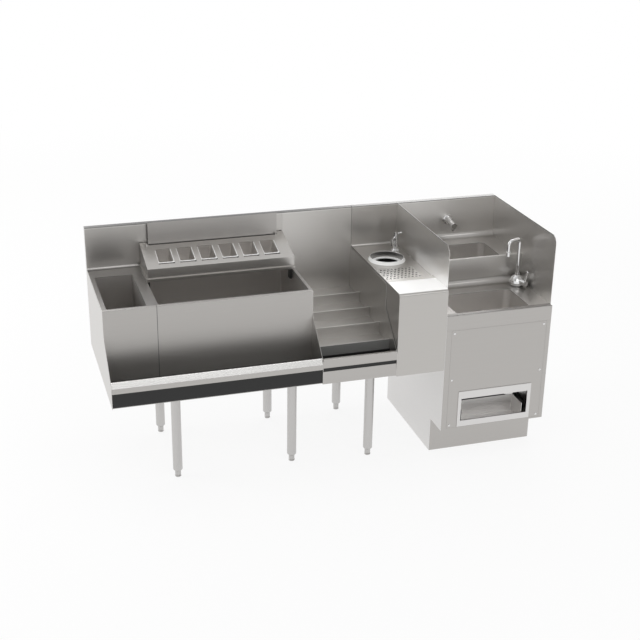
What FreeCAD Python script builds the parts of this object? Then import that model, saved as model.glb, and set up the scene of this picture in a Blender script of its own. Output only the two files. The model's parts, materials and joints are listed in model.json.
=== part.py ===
import FreeCAD, Part
import math
import os

from FreeCAD import Placement, Rotation, Vector

# Bar sink with ice bin: five stainless units in one row.
# While it is drawn, X runs from the left end to the right, Y = 0 is the face of the back splash with the
# user's side at -Y, and Z = 0 is the floor. The finished row is moved so that its origin is the middle
# of its footprint on the floor. All sizes are millimetres.

# ---------------------------------------------------------------- driving dimensions: the row
well_width = 203.2
bin_width = 609.6
display_width = 304.8
dump_width = 203.2
sink_width = 457.2
work_height = 762.0
splash_rise = 177.8
splash_depth = 25.4
front_depth = 451.0            # back splash to the front panels of well and bin
rail_depth = 596.9             # back splash to the bottle rails
dump_depth = 590.6             # back splash to the front of dump section and cabinet
hang_drop = 333.0              # work height to the underside of the hanging units
dump_drop = 341.0              # work height to the underside of the dump section

# ---------------------------------------------------------------- driving dimensions: metal and fits
sheet = 1.5
bend = 1.0                     # inside radius of a brake bend
cove = 10.0                    # radius where a deck turns up into the splash
seam = 0.2                     # gap between two panels that meet
unit_gap = 2.0                 # gap between the display's end panel and the dump section
spacer_radius = 10.0           # spacers in that gap, where the two units are bolted together
spacer_from_splash = 60.0
spacer_drop = 60.0
lift_gap = 0.3                 # gap under a piece that only rests there

# ---------------------------------------------------------------- driving dimensions: end panels and rails
# Rises are measured from the underside of the hanging units.
knee_drop = 102.0              # work height to the knee of the end panels
knee_radius = 30.0
slope_run = 13.9               # rail front to the foot of the slope
slope_foot_rise = 109.0
nose_rise = 93.0
slope_radius = 12.0
liner_wall = 4.0
liner_bend = 2.0
liner_setback = 4.9            # rail front to the outer face of the liner's front wall
liner_lip_rise = 76.0
bin_liner_back_rise = 44.0
display_liner_back_rise = 79.0
bar_foot_rise = 62.0
bar_nose_rise = 83.0
bar_top_rise = 105.0
bar_lean = 12.0                # how far the bar's upper facet leans back
bar_top_width = 5.0
bar_skirt = 26.0               # length of the bar's inner leg
flat_bar_low_rise = 66.0
flat_bar_high_rise = 104.0
flat_bar_width = 13.0
apron_break_rise = 19.0
apron_top_rise = 51.0
apron_lean = 3.0

# ---------------------------------------------------------------- driving dimensions: well and bin
front_return = 15.0            # top return of the front panels, which makes the front rim
opening_margin = 4.0           # front rim's seam to the front edge of both openings
well_rim_left = 18.0
well_opening = 150.0           # width of the well's opening
well_ledge = 93.0              # depth of the ledge behind the well
tub_depth = 292.0              # work height to the floor of well and bin
tub_corner = 6.0
tub_foot = 5.0
bin_rim_left = 7.8
bin_rim_right = 11.8
bin_ledge = 27.0
foam_play = 0.3

# ---------------------------------------------------------------- driving dimensions: garnish tray
tray_inset_left = 10.8         # bin's left boundary to the tray
tray_inset_right = 1.8
tray_back = 5.0                # back splash to the tray's back
tray_rise = 100.0              # work height to the tray's back edge
tray_slope = 14.5              # degrees
tray_depth = 185.0
tray_edge = 2.0                # radius of the tray's upper edges
tray_frame_lip = 8.0           # how far the frame stands out in front
tray_frame_height = 11.5
tray_frame_bar = 22.0
tray_frame_left = 7.0          # how far the frame reaches past the tray onto the left rim
tray_frame_right = 1.0
pan_count = 6
pan_first = 93.8               # bin's left boundary to the middle of the first pan
pan_last = 85.8                # middle of the last pan to the bin's right boundary
pan_width = 60.0
pan_length = 100.0
pan_depth = 80.0
pan_rim = 6.0
pan_bead = 2.0                 # width of the raised bead along the rim's edge
pan_bead_rise = 1.2
pan_wall = 1.0
pan_corner = 8.0
pan_back = 65.0                # back splash to the inside of the pans, along Y
pan_play = 1.5
cover_left = 43.8              # bin's left boundary to the cover
cover_right = 30.8             # cover to the bin's right boundary
cover_thickness = 2.0
cover_back = 20.0              # back splash to the middle of the cover
cover_height = 170.0
cover_hem = 5.0
pocket_rise = 5.0              # underside of the tray's shell to the floor of the cover's slot
pocket_front_drop = 18.0       # tray's back edge to the top of the pocket's front wall
pocket_back_drop = 8.0
slot_play = 1.5
slot_front_play = 5.0          # gap in front of the cover, for fingers
stud_radius = 3.0
stud_height = 9.0
stud_inset = 7.0
stud_from_cover = 15.0
stud_root = 2.0                # how far a stud reaches below the sheet it stands in
guide_size = (10.0, 26.0, 42.0)
guide_setback = 2.0            # tray frame's front to the guides
guide_play = 0.5

# ---------------------------------------------------------------- driving dimensions: display
nosing_from_splash = (139.0, 268.0, 392.0, 510.0)
nosing_drops = (153.0, 170.0, 186.0, 212.0)
lip_width = 4.0
lip_rise = 25.0
lip_bend = 0.3

# ---------------------------------------------------------------- driving dimensions: dump section
plateau_rise = 6.4
plateau_depth = 165.6          # depth of the raised front strip
plateau_ramp = 4.0
nose_radius = 13.0
collar_from_left = 93.4
collar_from_splash = 188.0
collar_outer = 77.0
collar_inner = 68.0
collar_rise = 13.0
collar_skirt = 15.0
collar_ledge = 9.0
collar_bevel = 3.0             # height of the slopes inside and outside the collar's flat top
collar_inner_slope = 1.0
collar_outer_slope = 1.0
collar_edge = 6.0              # how much the collar's outside leans in
basket_play = 0.6
basket_wall = 1.2
basket_radius = 55.0
basket_depth = 62.0
basket_taper = 6.0
basket_foot = 3.0              # height of the slope between floor and wall
basket_rim = 3.0
basket_hole = 2.6              # radius of each hole
basket_ring_radii = (12.0, 24.0, 36.0)
basket_ring_counts = (6, 12, 18)
basket_wall_rows = (18.0, 34.0)
basket_wall_count = 20
insert_from_left = 7.4
insert_from_splash = 292.0
insert_width = 158.0
insert_depth = 128.0
insert_play = 0.5
insert_ledge = 4.0
insert_ledge_thickness = 1.5
insert_corner = 4.0
insert_hole = 4.6              # radius of each drain hole
insert_pitch = 15.5            # from hole to hole along X
insert_row_pitch = 19.0
insert_rim = 9.0               # plate's edge to the middle of the first holes
dump_bowl_side = 5.0
dump_bowl_right = 24.8
dump_bowl_back = 115.5
dump_bowl_front = 434.0
dump_bowl_corner = 12.0
dump_bowl_foot = 6.0
dump_drain_forward = 60.0      # collar's middle to the drain
bowl_depth = 150.0
bowl_back_corner = 28.0
bowl_front_corner = 10.0
bowl_foot = 9.0

# ---------------------------------------------------------------- driving dimensions: sink section
partition_thickness = 1.6
splash_setback = 15.6          # cabinet front to the front edge of the tall side plates
splash_corner = 36.0
sink_drop = 107.0              # work height to the deck of the front sink
step_from_splash = 290.0
step_rise = 11.0               # rim of the step above the rear deck
step_rim = 8.0
step_cove = 25.0
step_ramp = 4.0
sink_cove = 24.0
apron_bend = 3.0
rear_bowl_x = (60.0, 86.0)     # margins from the sink section's left and right boundary
rear_bowl_y = (88.5, 272.0)
front_bowl_x = (48.0, 92.0)
front_bowl_y = (378.0, 568.0)
front_drain_from_back = 62.0   # bowl's back wall to its drain
sink_apron = 63.5              # height of the front sink's apron
shelf_height = 149.0
kick_setback = 109.6           # cabinet front to the toe kick
pipe_hole = 42.0               # radius of the shelf's holes below the drains
supply_hole = 24.0             # radius of the holes below the taps
access_x = (24.2, 18.0)        # margins from the sink section's left and right boundary
access_seam = 2.0              # apron to the access panel
access_rise = 7.0              # shelf to the access panel's foot
panel_play = 0.4
stile_ledge = 26.0
stile_reach = 12.0
screw_inset = 12.5
screw_radius = 2.4
screw_head_radius = 5.0
screw_head_height = 2.4
screw_tail = 8.0               # screw's end behind the ledge
screw_play = 0.05
frame_outer_x = (69.2, 64.0)
frame_outer_rise = (10.0, 168.0)    # above the shelf
frame_inner_x = (83.2, 79.0)
frame_inner_rise = (36.0, 135.0)
frame_proud = 3.0
catch_x = (90.2, 97.0)
catch_depth = 90.0
catch_wall = 1.2
catch_high_rise = 77.0
catch_low_rise = 34.0

# ---------------------------------------------------------------- driving dimensions: taps
shank_radius = 10.3            # male inlet of each deck tap
shank_length = 48.0
shank_neck = 12.0              # radius where a tap passes its deck
shank_neck_length = 18.0
shank_play = 0.4
nut_rim = 6.0
nut_height = 8.0
swivel_play = 0.05
filler_from_left = 165.4
filler_from_splash = 95.0
filler_neck = 54.0             # height of the filler tap's body
filler_outline = ((18.0, 0.0), (18.0, 4.0), (15.0, 8.0), (11.0, 12.0), (9.5, 30.0), (11.5, 36.0))
filler_shoulder = 11.5
filler_stem = 6.0
filler_stem_top = 80.0
filler_hub = 11.0
filler_hub_height = 14.0
filler_arm = 5.0
filler_reach = 52.0
filler_drop = 6.0              # radius of the spout's downward end
filler_drop_bore = 4.2
filler_drop_length = 26.0
filler_cap = 10.0
filler_cap_height = 14.0
filler_lever_reach = 24.0
filler_lever_bar = 3.2
filler_lever_rise = 3.0
filler_knob = 4.2
filler_lever_root = 2.0        # how far the lever's bar reaches into its cap
wall_spout_x = 235.2           # from the sink section's left boundary
wall_spout_rise = 88.0         # above the work height
wall_spout_reach = 80.0
wall_spout_fall = 8.0
wall_flange = 21.0
wall_flange_thickness = 6.0
wall_cone = 16.0
wall_barrel = 12.0
wall_outlet = 8.0
wall_outlet_bore = 5.5
wall_outlet_length = 24.0
gooseneck_from_right = 40.0
gooseneck_from_splash = 341.0
gooseneck_foot = 44.0          # height of the bell body
gooseneck_outline = ((26.5, 0.0), (31.0, 3.0), (31.0, 14.0), (29.0, 24.0), (24.0, 33.0), (16.0, 40.0))
gooseneck_collar = 11.0
gooseneck_collar_height = 8.0
gooseneck_socket = 20.0        # how deep the spout stands in the bell
gooseneck_ring = 10.0
gooseneck_ring_height = 3.0
gooseneck_ring_rise = 86.0     # deck to the ring on the spout
gooseneck_top = 210.0          # top of the bend above the deck
gooseneck_reach = 68.0
gooseneck_bend = 17.0          # middle-line radius of both bends
gooseneck_turn = 204.0         # direction of the spout, degrees from +X
gooseneck_tube = 7.0
gooseneck_bore = 5.5
gooseneck_tip = 145.0          # outlet above the deck
gooseneck_nozzle = 9.0
gooseneck_nozzle_length = 18.0
gooseneck_nozzle_overhang = 4.0
valve_turn = -72.0             # direction of the valve, degrees from +X
valve_height = 20.0
valve_radius = 12.0
valve_root = 18.0              # distances from the bell's middle line
valve_reach = 40.0
valve_stem = 5.0
valve_stem_length = 10.0
valve_stem_play = 0.5
handle_radius = 13.0
handle_width = 14.0
handle_rise = 52.0
handle_lean = 12.0
handle_foot_radius = 6.5
handle_tip_radius = 4.5

# ---------------------------------------------------------------- driving dimensions: drains, legs
drain_tail = 19.05             # outside radius of a tailpiece
drain_body = 21.0              # outside radius of the threaded body above it
drain_play = 0.3
drain_bore = 17.4
drain_flange = 32.0
drain_flange_height = 2.0
drain_throat = 6.0             # height of the cone below the flange
drain_dish = 8.0
drain_lip = 4.0
tail_length = 60.0
leg_radius = 19.05
leg_wall = 1.6
leg_x = (268.3, 742.8, 1061.5)
leg_front_from_splash = (403.5, 403.5, 440.0)
leg_back_from_splash = 10.0
leg_end_height = 34.0
insert_dome = 6.0
insert_plug = 30.0
insert_shoulder = 2.0
insert_mouth = 2.5
foot_radius = 11.8
foot_pad_radius = 12.6
foot_pad_edge = 1.5
foot_pad_height = 5.0
foot_groove = 1.2              # depth of the groove above the pad
foot_groove_height = 3.0
foot_engage = 50.0
socket_radius = 27.0
socket_height = 22.0
socket_play = 0.2

# ---------------------------------------------------------------- lines that follow from them
splash_top = work_height + splash_rise
hang_clearance = work_height - hang_drop
dump_clearance = work_height - dump_drop
under_deck = work_height - sheet
pan_top = hang_clearance + sheet
rim_front = front_depth - front_return
opening_front = rim_front - opening_margin
tub_floor_height = work_height - tub_depth
knee_height = work_height - knee_drop
tray_skirt_height = work_height + lift_gap + tray_frame_height
tray_top_back_height = work_height + tray_rise
pocket_floor = tray_skirt_height + pocket_rise
cover_foot_height = pocket_floor + lift_gap
cover_top_height = cover_foot_height + cover_height
nosing_heights = tuple(work_height - drop for drop in nosing_drops)
plateau_back = dump_depth - plateau_depth
sink_height = work_height - sink_drop
splash_front = dump_depth - splash_setback
apron_foot_height = sink_height - sink_apron
kick_from_splash = dump_depth - kick_setback
access_top = apron_foot_height - access_seam
access_bottom = shelf_height + access_rise
liner_front = rail_depth - liner_setback

x_well = 0.0
x_bin = x_well + well_width
x_display = x_bin + bin_width
x_dump = x_display + display_width
x_sink = x_dump + dump_width
x_end = x_sink + sink_width
y_back = splash_depth
back_panel_face = y_back - sheet
origin_shift = Vector(-x_end / 2, (rail_depth - splash_depth) / 2, 0)


# ---------------------------------------------------------------- helpers
def block(x, y, z):
    """Block between two limits along each axis."""
    corner = Vector(min(x), min(y), min(z))
    return Part.makeBox(max(x) - min(x), max(y) - min(y), max(z) - min(z), corner)


def rounded_wire(points, radii):
    """Closed flat wire through the points, each corner rounded by its own radius."""
    count = len(points)
    entries = []
    for index in range(count):
        corner = points[index]
        back = points[index - 1] - corner
        ahead = points[(index + 1) % count] - corner
        radius = radii[index]
        if radius <= 0:
            entries.append((corner, None, corner))
            continue
        half = back.getAngle(ahead) / 2
        back.normalize()
        ahead.normalize()
        reach = radius / math.tan(half)
        middle = back + ahead
        middle.normalize()
        crown = corner + middle * (radius / math.sin(half) - radius)
        entries.append((corner + back * reach, crown, corner + ahead * reach))
    edges = []
    for index in range(count):
        start, crown, end = entries[index]
        if crown is not None:
            edges.append(Part.Arc(start, crown, end).toShape())
        following = entries[(index + 1) % count][0]
        if (following - end).Length > 1e-6:
            edges.append(Part.LineSegment(end, following).toShape())
    return Part.Wire(edges)


def side_plate(outline, x0, x1, radii=None):
    """Solid between x0 and x1 whose (y, z) outline is given; radii rounds chosen corners."""
    radii = radii or {}
    points = [Vector(x0, y, z) for y, z in outline]
    wire = rounded_wire(points, [radii.get(index, 0.0) for index in range(len(points))])
    return Part.Face(wire).extrude(Vector(x1 - x0, 0, 0))


def folded_sheet(show_side, radii, x0, x1, thickness=sheet):
    """Folded sheet along X. show_side is its (y, z) line, and the metal lies to the right of it."""
    count = len(show_side)
    directions = []
    for (ya, za), (yb, zb) in zip(show_side, show_side[1:]):
        length = math.hypot(yb - ya, zb - za)
        directions.append(((yb - ya) / length, (zb - za) / length))
    hidden_side = []
    shown_radii = []
    hidden_radii = []
    for index, (y, z) in enumerate(show_side):
        before = directions[max(index - 1, 0)]
        after = directions[min(index, count - 2)]
        normal = (before[1] + after[1], -before[0] - after[0])
        share = thickness / (1 + before[0] * after[0] + before[1] * after[1])
        hidden_side.append((y + normal[0] * share, z + normal[1] * share))
        turn = before[0] * after[1] - before[1] * after[0]
        inside = radii[index - 1] if 0 < index < count - 1 else 0.0
        outside = inside + thickness if inside > 0 else 0.0
        shown_radii.append(inside if turn > 0 else outside)
        hidden_radii.append(outside if turn > 0 else inside)
    outline = show_side + hidden_side[::-1]
    corner_radii = shown_radii + hidden_radii[::-1]
    return side_plate(outline, x0, x1, dict(enumerate(corner_radii)))


def rounded_block(x, y, z, corner, foot=0.0, front_corner=None):
    """Block with rounded upright edges and, below, a rounded foot. front_corner is for the user's side."""
    front_corner = corner if front_corner is None else front_corner
    body = block(x, y, z)
    middle = (min(y) + max(y)) / 2
    for radius, side in ((corner, 1), (front_corner, -1)):
        upright = [
            edge for edge in body.Edges
            if abs(edge.tangentAt(edge.FirstParameter).z) > 0.99
            and (edge.CenterOfMass.y - middle) * side > 0
        ]
        body = body.makeFillet(radius, upright)
    if foot > 0:
        low = [edge for edge in body.Edges if edge.BoundBox.ZMax < min(z) + 1e-3]
        body = body.makeFillet(foot, low)
    return body


def grow(limits, amount):
    """Limits widened by the same amount at both ends."""
    return (min(limits) - amount, max(limits) + amount)


def tub(x, y, floor, top, wall, corner, foot, front_corner):
    """Open tub. x and y are its inside limits, floor is the height of its inside floor."""
    outside = rounded_block(
        grow(x, wall), grow(y, wall), (floor - wall, top), corner + wall, foot + wall, front_corner + wall)
    inside = rounded_block(x, y, (floor, top + wall), corner, foot, front_corner)
    return outside.cut(inside)


def rod(radius, start, end):
    """Solid round bar between two points."""
    line = end - start
    return Part.makeCylinder(radius, line.Length, start, line)


def pipe(outer, inner, start, end):
    """Hollow round bar between two points."""
    return rod(outer, start, end).cut(rod(inner, start, end))


def turned(outline, centre):
    """Solid turned about the upright line through centre from (radius, height) points."""
    points = [Vector(radius, 0, height) for radius, height in outline]
    face = Part.Face(Part.makePolygon(points + [points[0]]))
    body = face.revolve(Vector(0, 0, 0), Vector(0, 0, 1), 360)
    body.translate(centre)
    return body


def together(pieces):
    """One solid from overlapping pieces."""
    whole = pieces[0].fuse(pieces[1:]) if len(pieces) > 1 else pieces[0]
    return whole.removeSplitter()


nodes = {}


def keep(name, pieces):
    """Stores one piece, or a list of separate pieces of one kind, under its name."""
    pieces = pieces if isinstance(pieces, list) else [pieces]
    nodes[name] = pieces


# ---------------------------------------------------------------- end panels
def end_panel(x0):
    """Plate that closes a unit from its floor pan to the top of the splash and carries the rail."""
    outline = [
        (y_back, hang_clearance),
        (y_back, splash_top),
        (0.0, splash_top),
        (0.0, work_height),
        (-front_depth, work_height),
        (-front_depth, knee_height),
        (-rail_depth + slope_run, hang_clearance + slope_foot_rise),
        (-rail_depth, hang_clearance + nose_rise),
        (-rail_depth, hang_clearance),
    ]
    rounded = {2: sheet, 3: cove, 4: sheet, 5: knee_radius, 6: slope_radius, 7: slope_radius}
    return side_plate(outline, x0, x0 + sheet, rounded)


x_display_end = x_dump - unit_gap - sheet
display_end_panel = end_panel(x_display_end)
for y in (-spacer_from_splash, -rim_front):
    for z in (work_height - spacer_drop, hang_clearance + spacer_drop):
        spacer = rod(spacer_radius, Vector(x_display_end, y, z), Vector(x_dump, y, z))
        display_end_panel = display_end_panel.fuse(spacer)
keep("end_panels", [end_panel(x_well), end_panel(x_display - sheet), display_end_panel.removeSplitter()])

shell_left = x_well + sheet + seam
shell_right = x_display - sheet - seam
well_right = x_bin - seam / 2
bin_left = x_bin + seam / 2
display_left = x_display + seam
display_right = x_display_end - seam


# ---------------------------------------------------------------- back panels, floor pans
def back_panel(x0, x1, low):
    """Plain sheet that closes the back of a unit up to the splash's top return."""
    return block((x0, x1), (back_panel_face, y_back), (low, splash_top - sheet - seam))


dump_left = x_dump + sheet + seam
dump_right = x_sink - seam
keep("back_panels", [
    back_panel(shell_left, shell_right, hang_clearance),
    back_panel(display_left, display_right, hang_clearance),
    back_panel(dump_left, dump_right, dump_clearance),
])


def pierced(plate, x, y, low, radius):
    """Level plate, its underside at height low, with a round hole for a pipe."""
    below = Vector(x, y, low - sheet)
    return plate.cut(rod(radius, below, below + Vector(0, 0, 3 * sheet)))


def floor_pan(x0, x1, front, low, holes):
    """Flat pan under a unit, with a hole for each tailpiece."""
    pan = block((x0, x1), (-front, back_panel_face - seam), (low, low + sheet))
    for x, y in holes:
        pan = pierced(pan, x, y, low, drain_body + drain_play)
    return pan


# ---------------------------------------------------------------- well and bin tops
def unit_top(x0, x1, opening_x, ledge):
    """Deck, cove and splash in one sheet, with the rounded opening of a tub."""
    line = [(-rim_front + seam, work_height), (0.0, work_height), (0.0, splash_top), (y_back, splash_top)]
    top = folded_sheet(line, [cove, bend], x0, x1)
    hole = rounded_block(opening_x, (-opening_front, -ledge), (under_deck - 1, work_height + 1), tub_corner)
    return top.cut(hole)


well_x = (x_well + well_rim_left, x_well + well_rim_left + well_opening)
well_y = (-opening_front, -well_ledge)
bin_x = (x_bin + bin_rim_left, x_display - bin_rim_right)
bin_y = (-opening_front, -bin_ledge)
keep("well_top", unit_top(shell_left, well_right, well_x, well_ledge))
keep("bin_top", unit_top(bin_left, shell_right, bin_x, bin_ledge))

well_drain = (sum(well_x) / 2, sum(well_y) / 2)
bin_drain = (sum(bin_x) / 2, sum(bin_y) / 2)


def hung_tub(x, y, floor, top, corner, foot, drain, front_corner):
    """Tub with a drain hole in its floor."""
    body = tub(x, y, floor, top, sheet, corner, foot, front_corner)
    low = Vector(*drain, floor - 2 * sheet)
    return body.cut(rod(drain_body + drain_play, low, Vector(*drain, floor + sheet)))


def ice_tub(x, y, drain):
    """Liner of the well or of the ice bin."""
    return hung_tub(x, y, tub_floor_height, under_deck, tub_corner, tub_foot, drain, tub_corner)


keep("well_liner", ice_tub(well_x, well_y, well_drain))
keep("bin_liner", ice_tub(bin_x, bin_y, bin_drain))

foam_x = (well_x[1] + sheet + foam_play, shell_right - foam_play)
foam_y = (-front_depth + sheet + foam_play, back_panel_face - foam_play)
foam = block(foam_x, foam_y, (pan_top + foam_play, under_deck - foam_play))
foam_hole = rounded_block(
    grow(bin_x, sheet + foam_play),
    grow(bin_y, sheet + foam_play),
    (tub_floor_height - sheet - foam_play, work_height),
    tub_corner + sheet + foam_play,
    tub_foot + sheet + foam_play,
)
drain_way = rod(drain_body + foam_play, Vector(*bin_drain, pan_top), Vector(*bin_drain, tub_floor_height))
keep("bin_insulation", foam.cut(foam_hole).cut(drain_way))

front_line = [
    (-front_depth, pan_top + seam),
    (-front_depth, work_height),
    (-rim_front, work_height),
]
keep("front_panels", [
    folded_sheet(front_line, [bend], shell_left, well_right),
    folded_sheet(front_line, [bend], bin_left, shell_right),
])
bin_floor_pan = floor_pan(
    shell_left, shell_right, liner_front - liner_wall, hang_clearance, [well_drain, bin_drain])


# ---------------------------------------------------------------- bottle rails
def rail_liner(x0, x1, back_face, back_rise):
    """Trough of a bottle rail: front wall, floor and back wall of one thickness."""
    floor = pan_top + seam + liner_wall
    line = [
        (-liner_front + liner_wall, hang_clearance + liner_lip_rise),
        (-liner_front + liner_wall, floor),
        (-back_face - liner_wall, floor),
        (-back_face - liner_wall, hang_clearance + back_rise),
    ]
    return folded_sheet(line, [liner_bend, liner_bend], x0, x1, liner_wall)


display_riser = nosing_from_splash[-1]
keep("rail_liners", [
    rail_liner(shell_left, shell_right, front_depth + seam, bin_liner_back_rise),
    rail_liner(display_left, display_right, display_riser + seam, display_liner_back_rise),
])

bar_back = rail_depth - bar_lean
bar_top = hang_clearance + bar_top_rise
bar_line = [
    (-rail_depth, hang_clearance + bar_foot_rise),
    (-rail_depth, hang_clearance + bar_nose_rise),
    (-bar_back, bar_top),
    (-bar_back + bar_top_width, bar_top),
    (-bar_back + bar_top_width, bar_top - bar_skirt),
]
keep("bin_rail_bar", folded_sheet(bar_line, [bend, bend, bend], shell_left, shell_right))

flat_bar_low = hang_clearance + flat_bar_low_rise
flat_bar_high = hang_clearance + flat_bar_high_rise
flat_bar_line = [
    (-liner_front - seam, flat_bar_low),
    (-rail_depth, flat_bar_low),
    (-rail_depth, flat_bar_high),
    (-rail_depth + flat_bar_width, flat_bar_high),
    (-rail_depth + flat_bar_width, flat_bar_low),
]
keep("display_rail_bar", folded_sheet(flat_bar_line, [bend, bend, bend], display_left, display_right))

apron_line = [
    (-rail_depth, hang_clearance),
    (-rail_depth, hang_clearance + apron_break_rise),
    (-rail_depth + apron_lean, hang_clearance + apron_top_rise),
]
keep("display_apron", folded_sheet(apron_line, [bend], display_left, display_right))
display_floor_pan = floor_pan(display_left, display_right, rail_depth - sheet - seam, hang_clearance, [])

# ---------------------------------------------------------------- display
step_line = [(-display_riser, pan_top + seam)]
for distance, height in zip(nosing_from_splash[::-1], nosing_heights[::-1]):
    step_line += [
        (-distance, height),
        (-distance + lip_width, height),
        (-distance + lip_width, height - lip_rise),
    ]
    if distance != nosing_from_splash[0]:
        following = nosing_from_splash[nosing_from_splash.index(distance) - 1]
        step_line.append((-following, height - lip_rise))
tread_height = nosing_heights[0] - lip_rise
step_line.append((-seam, tread_height))
step_bends = [lip_bend] * (len(step_line) - 2)
keep("display_steps", folded_sheet(step_line, step_bends, display_left, display_right))
display_splash_line = [(0.0, tread_height - lip_rise), (0.0, splash_top), (y_back, splash_top)]
keep("display_splash", folded_sheet(display_splash_line, [bend], display_left, display_right))


# ---------------------------------------------------------------- garnish tray
tray_x = (x_bin + tray_inset_left, x_display - tray_inset_right)
slope = math.radians(tray_slope)
tray_front_height = tray_top_back_height - tray_depth * math.tan(slope)
tray_front = tray_back + tray_depth
tray_outline = [
    (-tray_back, tray_skirt_height),
    (-tray_back, tray_top_back_height),
    (-tray_front, tray_front_height),
    (-tray_front, tray_skirt_height),
]
tray_shell = side_plate(tray_outline, tray_x[0], tray_x[1], {1: tray_edge, 2: tray_edge})
inner_outline = [
    (-tray_back - sheet, tray_skirt_height - 1),
    (-tray_back - sheet, tray_top_back_height - sheet),
    (-tray_front + sheet, tray_front_height - sheet),
    (-tray_front + sheet, tray_skirt_height - 1),
]
tray_shell = tray_shell.cut(side_plate(inner_outline, tray_x[0] + sheet, tray_x[1] - sheet))


def on_slope(shape, distance_along, x):
    """Moves a shape drawn flat, its top side at z = 0 and its back at y = 0, onto the tray's slope."""
    shape.rotate(Vector(0, 0, 0), Vector(1, 0, 0), tray_slope)
    foot = Vector(
        x,
        -tray_back - distance_along * math.cos(slope),
        tray_top_back_height - distance_along * math.sin(slope),
    )
    shape.translate(foot)
    return shape


pan_pitch = (bin_width - pan_first - pan_last) / (pan_count - 1)
pan_centres = [x_bin + pan_first + index * pan_pitch for index in range(pan_count)]
pan_start = (pan_back - tray_back) / math.cos(slope)
half_pan = pan_width / 2
for centre in pan_centres:
    mouth = block(
        grow((-half_pan, half_pan), pan_wall + pan_play),
        (-pan_length - pan_wall - pan_play, pan_wall + pan_play),
        (-4 * sheet, 4 * sheet),
    )
    tray_shell = tray_shell.cut(on_slope(mouth, pan_start, centre))

cover_x = (x_bin + cover_left, x_display - cover_right)
cover_y = (-cover_back - cover_thickness / 2, -cover_back + cover_thickness / 2)
slot_x = grow(cover_x, slot_play)
slot_y = (cover_y[0] - slot_front_play, cover_y[1] + slot_play)
slot = block(slot_x, slot_y, (tray_front_height, tray_top_back_height + 1))
tray_shell = tray_shell.cut(slot)
pocket_line = [
    (slot_y[0], tray_top_back_height - pocket_front_drop),
    (slot_y[0], pocket_floor),
    (slot_y[1], pocket_floor),
    (slot_y[1], tray_top_back_height - pocket_back_drop),
]
tray_pocket = folded_sheet(pocket_line, [0.0, 0.0], tray_x[0] + sheet, tray_x[1] - sheet)
tray_shell = together([tray_shell, tray_pocket])
keep("garnish_tray", tray_shell)

frame_front = tray_front + tray_frame_lip
frame_z = (tray_skirt_height - tray_frame_height, tray_skirt_height)
frame_x = (tray_x[0] - tray_frame_left, tray_x[1] + tray_frame_right)
frame_back = cove + 1
frame_block = block(frame_x, (-frame_front, -frame_back), frame_z)
frame_hole = block(
    grow(tray_x, -tray_frame_bar / 2),
    (-frame_front + tray_frame_bar, -frame_back - tray_frame_bar / 2),
    grow(frame_z, 1),
)
keep("tray_frame", frame_block.cut(frame_hole))

guide_w, guide_d, guide_h = guide_size
guide_y = (-frame_front + guide_setback, -frame_front + guide_setback + guide_d)
guide_z = (frame_z[0] - guide_h, frame_z[0])
guide_left = bin_x[0] + guide_play
guide_right = bin_x[1] - guide_play
keep("tray_guides", [
    block((guide_left, guide_left + guide_w), guide_y, guide_z),
    block((guide_right - guide_w, guide_right), guide_y, guide_z),
])


def garnish_pan():
    """Deep pan with a flat rim, drawn flat with its rim on z = 0 and its inside back at y = 0."""
    inside_x = (-half_pan, half_pan)
    inside_y = (-pan_length, 0.0)
    body = rounded_block(
        grow(inside_x, pan_wall), grow(inside_y, pan_wall), (-pan_depth, 0),
        pan_corner + pan_wall, pan_corner - pan_wall)
    rim_x = grow(inside_x, pan_rim)
    rim_y = grow(inside_y, pan_rim)
    bead_top = pan_wall + pan_bead_rise
    rim = rounded_block(rim_x, rim_y, (0, bead_top), pan_corner)
    dip = rounded_block(
        grow(rim_x, -pan_bead), grow(rim_y, -pan_bead), (pan_wall, 2 * bead_top), pan_corner - pan_bead)
    hollow = rounded_block(
        inside_x, inside_y, (-pan_depth + pan_wall, 2 * bead_top), pan_corner, pan_corner - 2 * pan_wall)
    return together([body, rim.cut(dip)]).cut(hollow)


for index, centre in enumerate(pan_centres):
    pan = garnish_pan()
    pan.translate(Vector(0, 0, lift_gap))
    keep("garnish_pan_%d" % (index + 1), on_slope(pan, pan_start, centre))

cover_plate = block(cover_x, cover_y, (cover_foot_height, cover_top_height))
hem_y = (cover_y[0] - cover_thickness / 2, cover_y[1] + cover_thickness / 2)
cover_edge = block(cover_x, hem_y, (cover_top_height - cover_hem, cover_top_height))
keep("garnish_cover", together([cover_plate, cover_edge]))

stud_y = -cover_back - stud_from_cover
stud_top = tray_top_back_height - (-stud_y - tray_back) * math.tan(slope)
studs = []
for x in (cover_x[0] - stud_inset, cover_x[1] - stud_inset):
    root = Vector(x, stud_y, stud_top - sheet - stud_root)
    studs.append(rod(stud_radius, root, Vector(x, stud_y, stud_top + stud_height)))
for stud in studs:
    nodes["garnish_tray"] = [nodes["garnish_tray"][0].cut(stud)]
keep("cover_studs", studs)

# ---------------------------------------------------------------- dump section
under_plateau = work_height + plateau_rise - sheet
dump_line = [
    (-dump_depth, dump_clearance),
    (-dump_depth, work_height + plateau_rise),
    (-plateau_back, work_height + plateau_rise),
    (-plateau_back + plateau_ramp, work_height),
    (0.0, work_height),
    (0.0, splash_top),
    (y_back, splash_top),
]
dump_radii = [nose_radius, bend, bend, cove, bend]
dump_top = folded_sheet(dump_line, dump_radii, dump_left, dump_right)
collar_centre = Vector(x_dump + collar_from_left, -collar_from_splash, 0)
collar_neck = collar_inner + sheet
through_low = under_deck - 1
through_high = work_height + 1
hole_foot = collar_centre + Vector(0, 0, through_low)
dump_top = dump_top.cut(rod(collar_neck + lift_gap, hole_foot, collar_centre + Vector(0, 0, through_high)))
insert_x = (x_dump + insert_from_left, x_dump + insert_from_left + insert_width)
insert_y = (-insert_from_splash - insert_depth, -insert_from_splash)
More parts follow.
